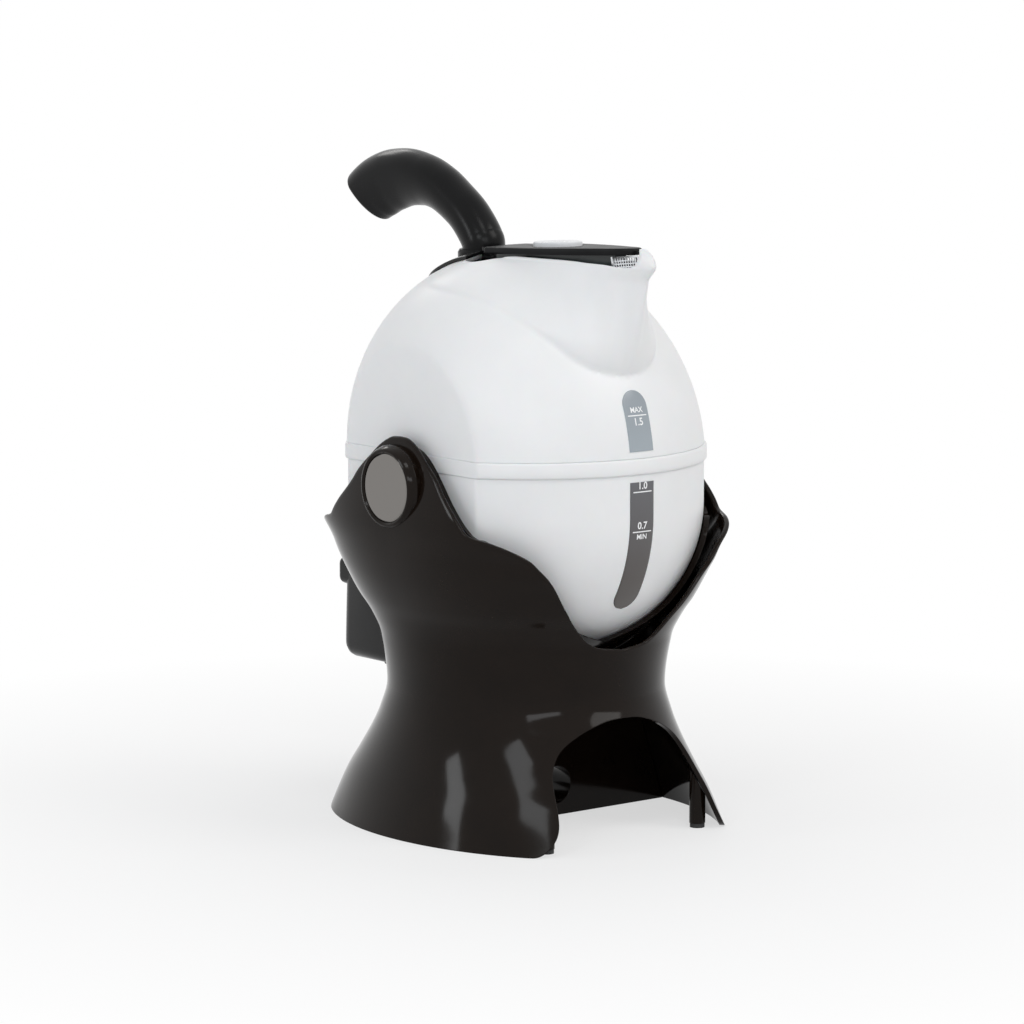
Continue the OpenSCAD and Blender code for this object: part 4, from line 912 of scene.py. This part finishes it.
def build_pod():
    """Switch pod with rounded edges, a recess round the rocker and a guard at each side of it."""
    t = np.radians(np.arange(0, 360, 1.5))
    way = np.stack([np.sin(t), np.cos(t)], 1)
    outer = way * rounded_reach(POD_HALF, POD_LOW, POD_HIGH, 6, t)[:, None]
    inner = way * rounded_reach(8.5, POD_MID - 8, POD_MID + 8, 1.2, t)[:, None]
    # Section: [share of the way from the recess to the edge, distance beyond, y]
    section = [
        (0, 0, 106.3), (0, 0, 112), (0, 0.4, 112.4), (1, -5, 112.5), (1, -3, 112.3),
        (1, -1.5, 111.5), (1, -0.4, 109.8), (1, 0, 107.5), (1, 0, 79), (1, -0.5, 77),
        (1, -1.8, 76.2),
    ]
    rows = []
    for share, beyond, y in section:
        x, z = (mix(inner, outer, share) + way * beyond).T
        rows.append(np.stack([x, np.full_like(x, y), POD_MID + z], 1))
    add_grid(
        "switch_pod", np.stack(rows, 1), "cradle", SATIN_BLACK, "switch_housing",
        sharp=50, ends="v",
    )
    for side, name in [(-1, "pod_guard_l"), (1, "pod_guard_r")]:
        left, right = sorted([side * 10.5, side * 17.9])
        rounded_block(
            name, (left, 105, 94), (right, 117.6, 106.8), 3.4, "cradle", SATIN_BLACK,
        )
# ---------------------------------------------------------------- pieces

# CAD nodes whose shape is kept, with their materials
PAINT = {
    "cross_web": GLOSS_BLACK, "foot_posts": GLOSS_BLACK, "rubber_feet": RUBBER,
    "pivot_bezels": GLOSS_BLACK, "pivot_bushes": ACETAL, "boss_caps": BRIGHT_CAP,
    "pivot_pins": STEEL, "pin_washers": STEEL, "pin_screws": STEEL,
    "power_connector": MATTE_BLACK, "cord_gland": RUBBER,
    "indicator_lens": AMBER, "rocker_switch": MATTE_BLACK, "rear_cover": SATIN_BLACK,
    "handle_collar": GRIP_BLACK, "element_plate": STEEL,
    "control_unit": ACETAL, "base_cover": MATTE_BLACK, "base_socket": MATTE_BLACK,
    # The lid's skirt takes the same dark teal as the mouth's painted shade
    "lid_pin": SATIN_BLACK, "hinge_lugs": SATIN_BLACK, "lid_skirt": MOUTH_SHADE,
}
for name, paint in PAINT.items():
    data = NODES[name].data
    data.materials.clear()
    data.materials.append(paint)

build_stand()
build_bowl()
build_dome()
build_belt()
build_windows()
build_handle()
build_lid()
build_spring()
build_cup()
build_filter()
build_pod()

# ---------------------------------------------------------------- studio and camera


def background_rays(tree):
    """1 for rays that should meet the white background: camera, glossy and transmission rays."""
    path = tree.nodes.new("ShaderNodeLightPath")
    seen = path.outputs["Is Camera Ray"]
    for kind in ("Is Glossy Ray", "Is Transmission Ray"):
        seen = node_of(
            tree, "ShaderNodeMath", [(0, seen), (1, path.outputs[kind])], operation="MAXIMUM"
        ).outputs[0]
    return seen


def build_floor():
    """Pale floor that fades to white away from the object and keeps its shadow."""
    m, tree, shader, coord = material("floor", (0.84, 0.84, 0.84), 0.6)
    shader.inputs["Specular IOR Level"].default_value = 0.1
    away = node_of(tree, "ShaderNodeVectorMath", [(0, coord)], operation="LENGTH").outputs["Value"]
    share = spread(tree, away, 0.62, 1.0, 0.12, 0.45)
    amount = node_of(
        tree, "ShaderNodeMath", [(0, background_rays(tree)), (1, share)], operation="MULTIPLY"
    )
    glow = node_of(tree, "ShaderNodeEmission", Color=(1, 1, 1, 1), Strength=1.0)
    lit = node_of(
        tree, "ShaderNodeMixShader",
        [(0, amount.outputs[0]), (1, shader.outputs[0]), (2, glow.outputs[0])],
    )
    tree.links.new(lit.outputs[0], tree.nodes["Material Output"].inputs["Surface"])
    half = 6
    mesh = bpy.data.meshes.new("floor")
    mesh.from_pydata(
        [(-half, -half, 0), (half, -half, 0), (half, half, 0), (-half, half, 0)], [],
        [(0, 1, 2, 3)],
    )
    mesh.materials.append(m)
    floor = bpy.data.objects.new("floor", mesh)
    bpy.context.scene.collection.objects.link(floor)


def build_world():
    """Soft neutral light, and plain white wherever the camera sees past the object."""
    world = bpy.data.worlds.new("studio")
    bpy.context.scene.world = world
    world.use_nodes = True
    tree = world.node_tree
    tree.nodes.clear()
    soft = node_of(tree, "ShaderNodeBackground", Color=(0.97, 0.98, 1, 1), Strength=0.47)
    white = node_of(tree, "ShaderNodeBackground", Color=(1, 1, 1, 1), Strength=1.0)
    both = node_of(
        tree, "ShaderNodeMixShader",
        [(0, background_rays(tree)), (1, soft.outputs[0]), (2, white.outputs[0])],
    )
    out = tree.nodes.new("ShaderNodeOutputWorld")
    tree.links.new(both.outputs[0], out.inputs["Surface"])


# Lamps: [name, place, aim, width and height, watts, colour], in metres
LAMPS = [
    ("key", (0.9, -1.5, 1.7), (0, 0, 0.15), (1.1, 1.1), 14, (1, 0.985, 0.96)),
    ("glow", (-1.38, -0.58, 1.15), (-0.05, -0.06, 0.03), (0.46, 0.44), 3.6, (0.93, 0.97, 1)),
    ("window", (-1.0, -1.6, 0.98), (-0.035, -0.055, 0.06), (1.0, 0.3), 4.5, (0.95, 0.97, 1)),
    ("side", (-1.4, 0.53, 0.66), (-0.01, 0.03, 0.265), (0.24, 0.36), 2.0, (0.95, 0.98, 1)),
    ("back", (0.45, 1.4, 1.15), (0, 0.08, 0.29), (0.7, 0.25), 2.6, (1, 0.98, 0.96)),
    ("high", (-0.45, -0.85, 1.85), (-0.08, -0.01, 0.167), (0.4, 0.4), 2.6, (1, 1, 1)),
]


def add_lamp(name, place, aim, size, power, color):
    """Rectangular lamp that faces what it aims at."""
    lamp = bpy.data.lights.new(name, "AREA")
    lamp.shape, lamp.size, lamp.size_y = "RECTANGLE", size[0], size[1]
    lamp.energy, lamp.color = power, color
    obj = bpy.data.objects.new(name, lamp)
    bpy.context.scene.collection.objects.link(obj)
    obj.location = place
    obj.rotation_mode = "QUATERNION"
    obj.rotation_quaternion = (Vector(aim) - Vector(place)).to_track_quat("-Z", "Y")


def build_camera():
    """Camera at the photograph's viewing angle and distance."""
    data = bpy.data.cameras.new("camera")
    data.sensor_width, data.lens = 36, 156.67
    cam = bpy.data.objects.new("camera", data)
    bpy.context.scene.collection.objects.link(cam)
    down, left = 0.138289, 0.683184
    cam.location = (-1.25326, -1.52984, 0.41376)
    cam.rotation_euler = (math.pi / 2 - down, 0, -left)
    bpy.context.scene.camera = cam


build_floor()
build_world()
for lamp in LAMPS:
    add_lamp(*lamp)
build_camera()
bpy.context.scene.view_settings.view_transform = "Standard"
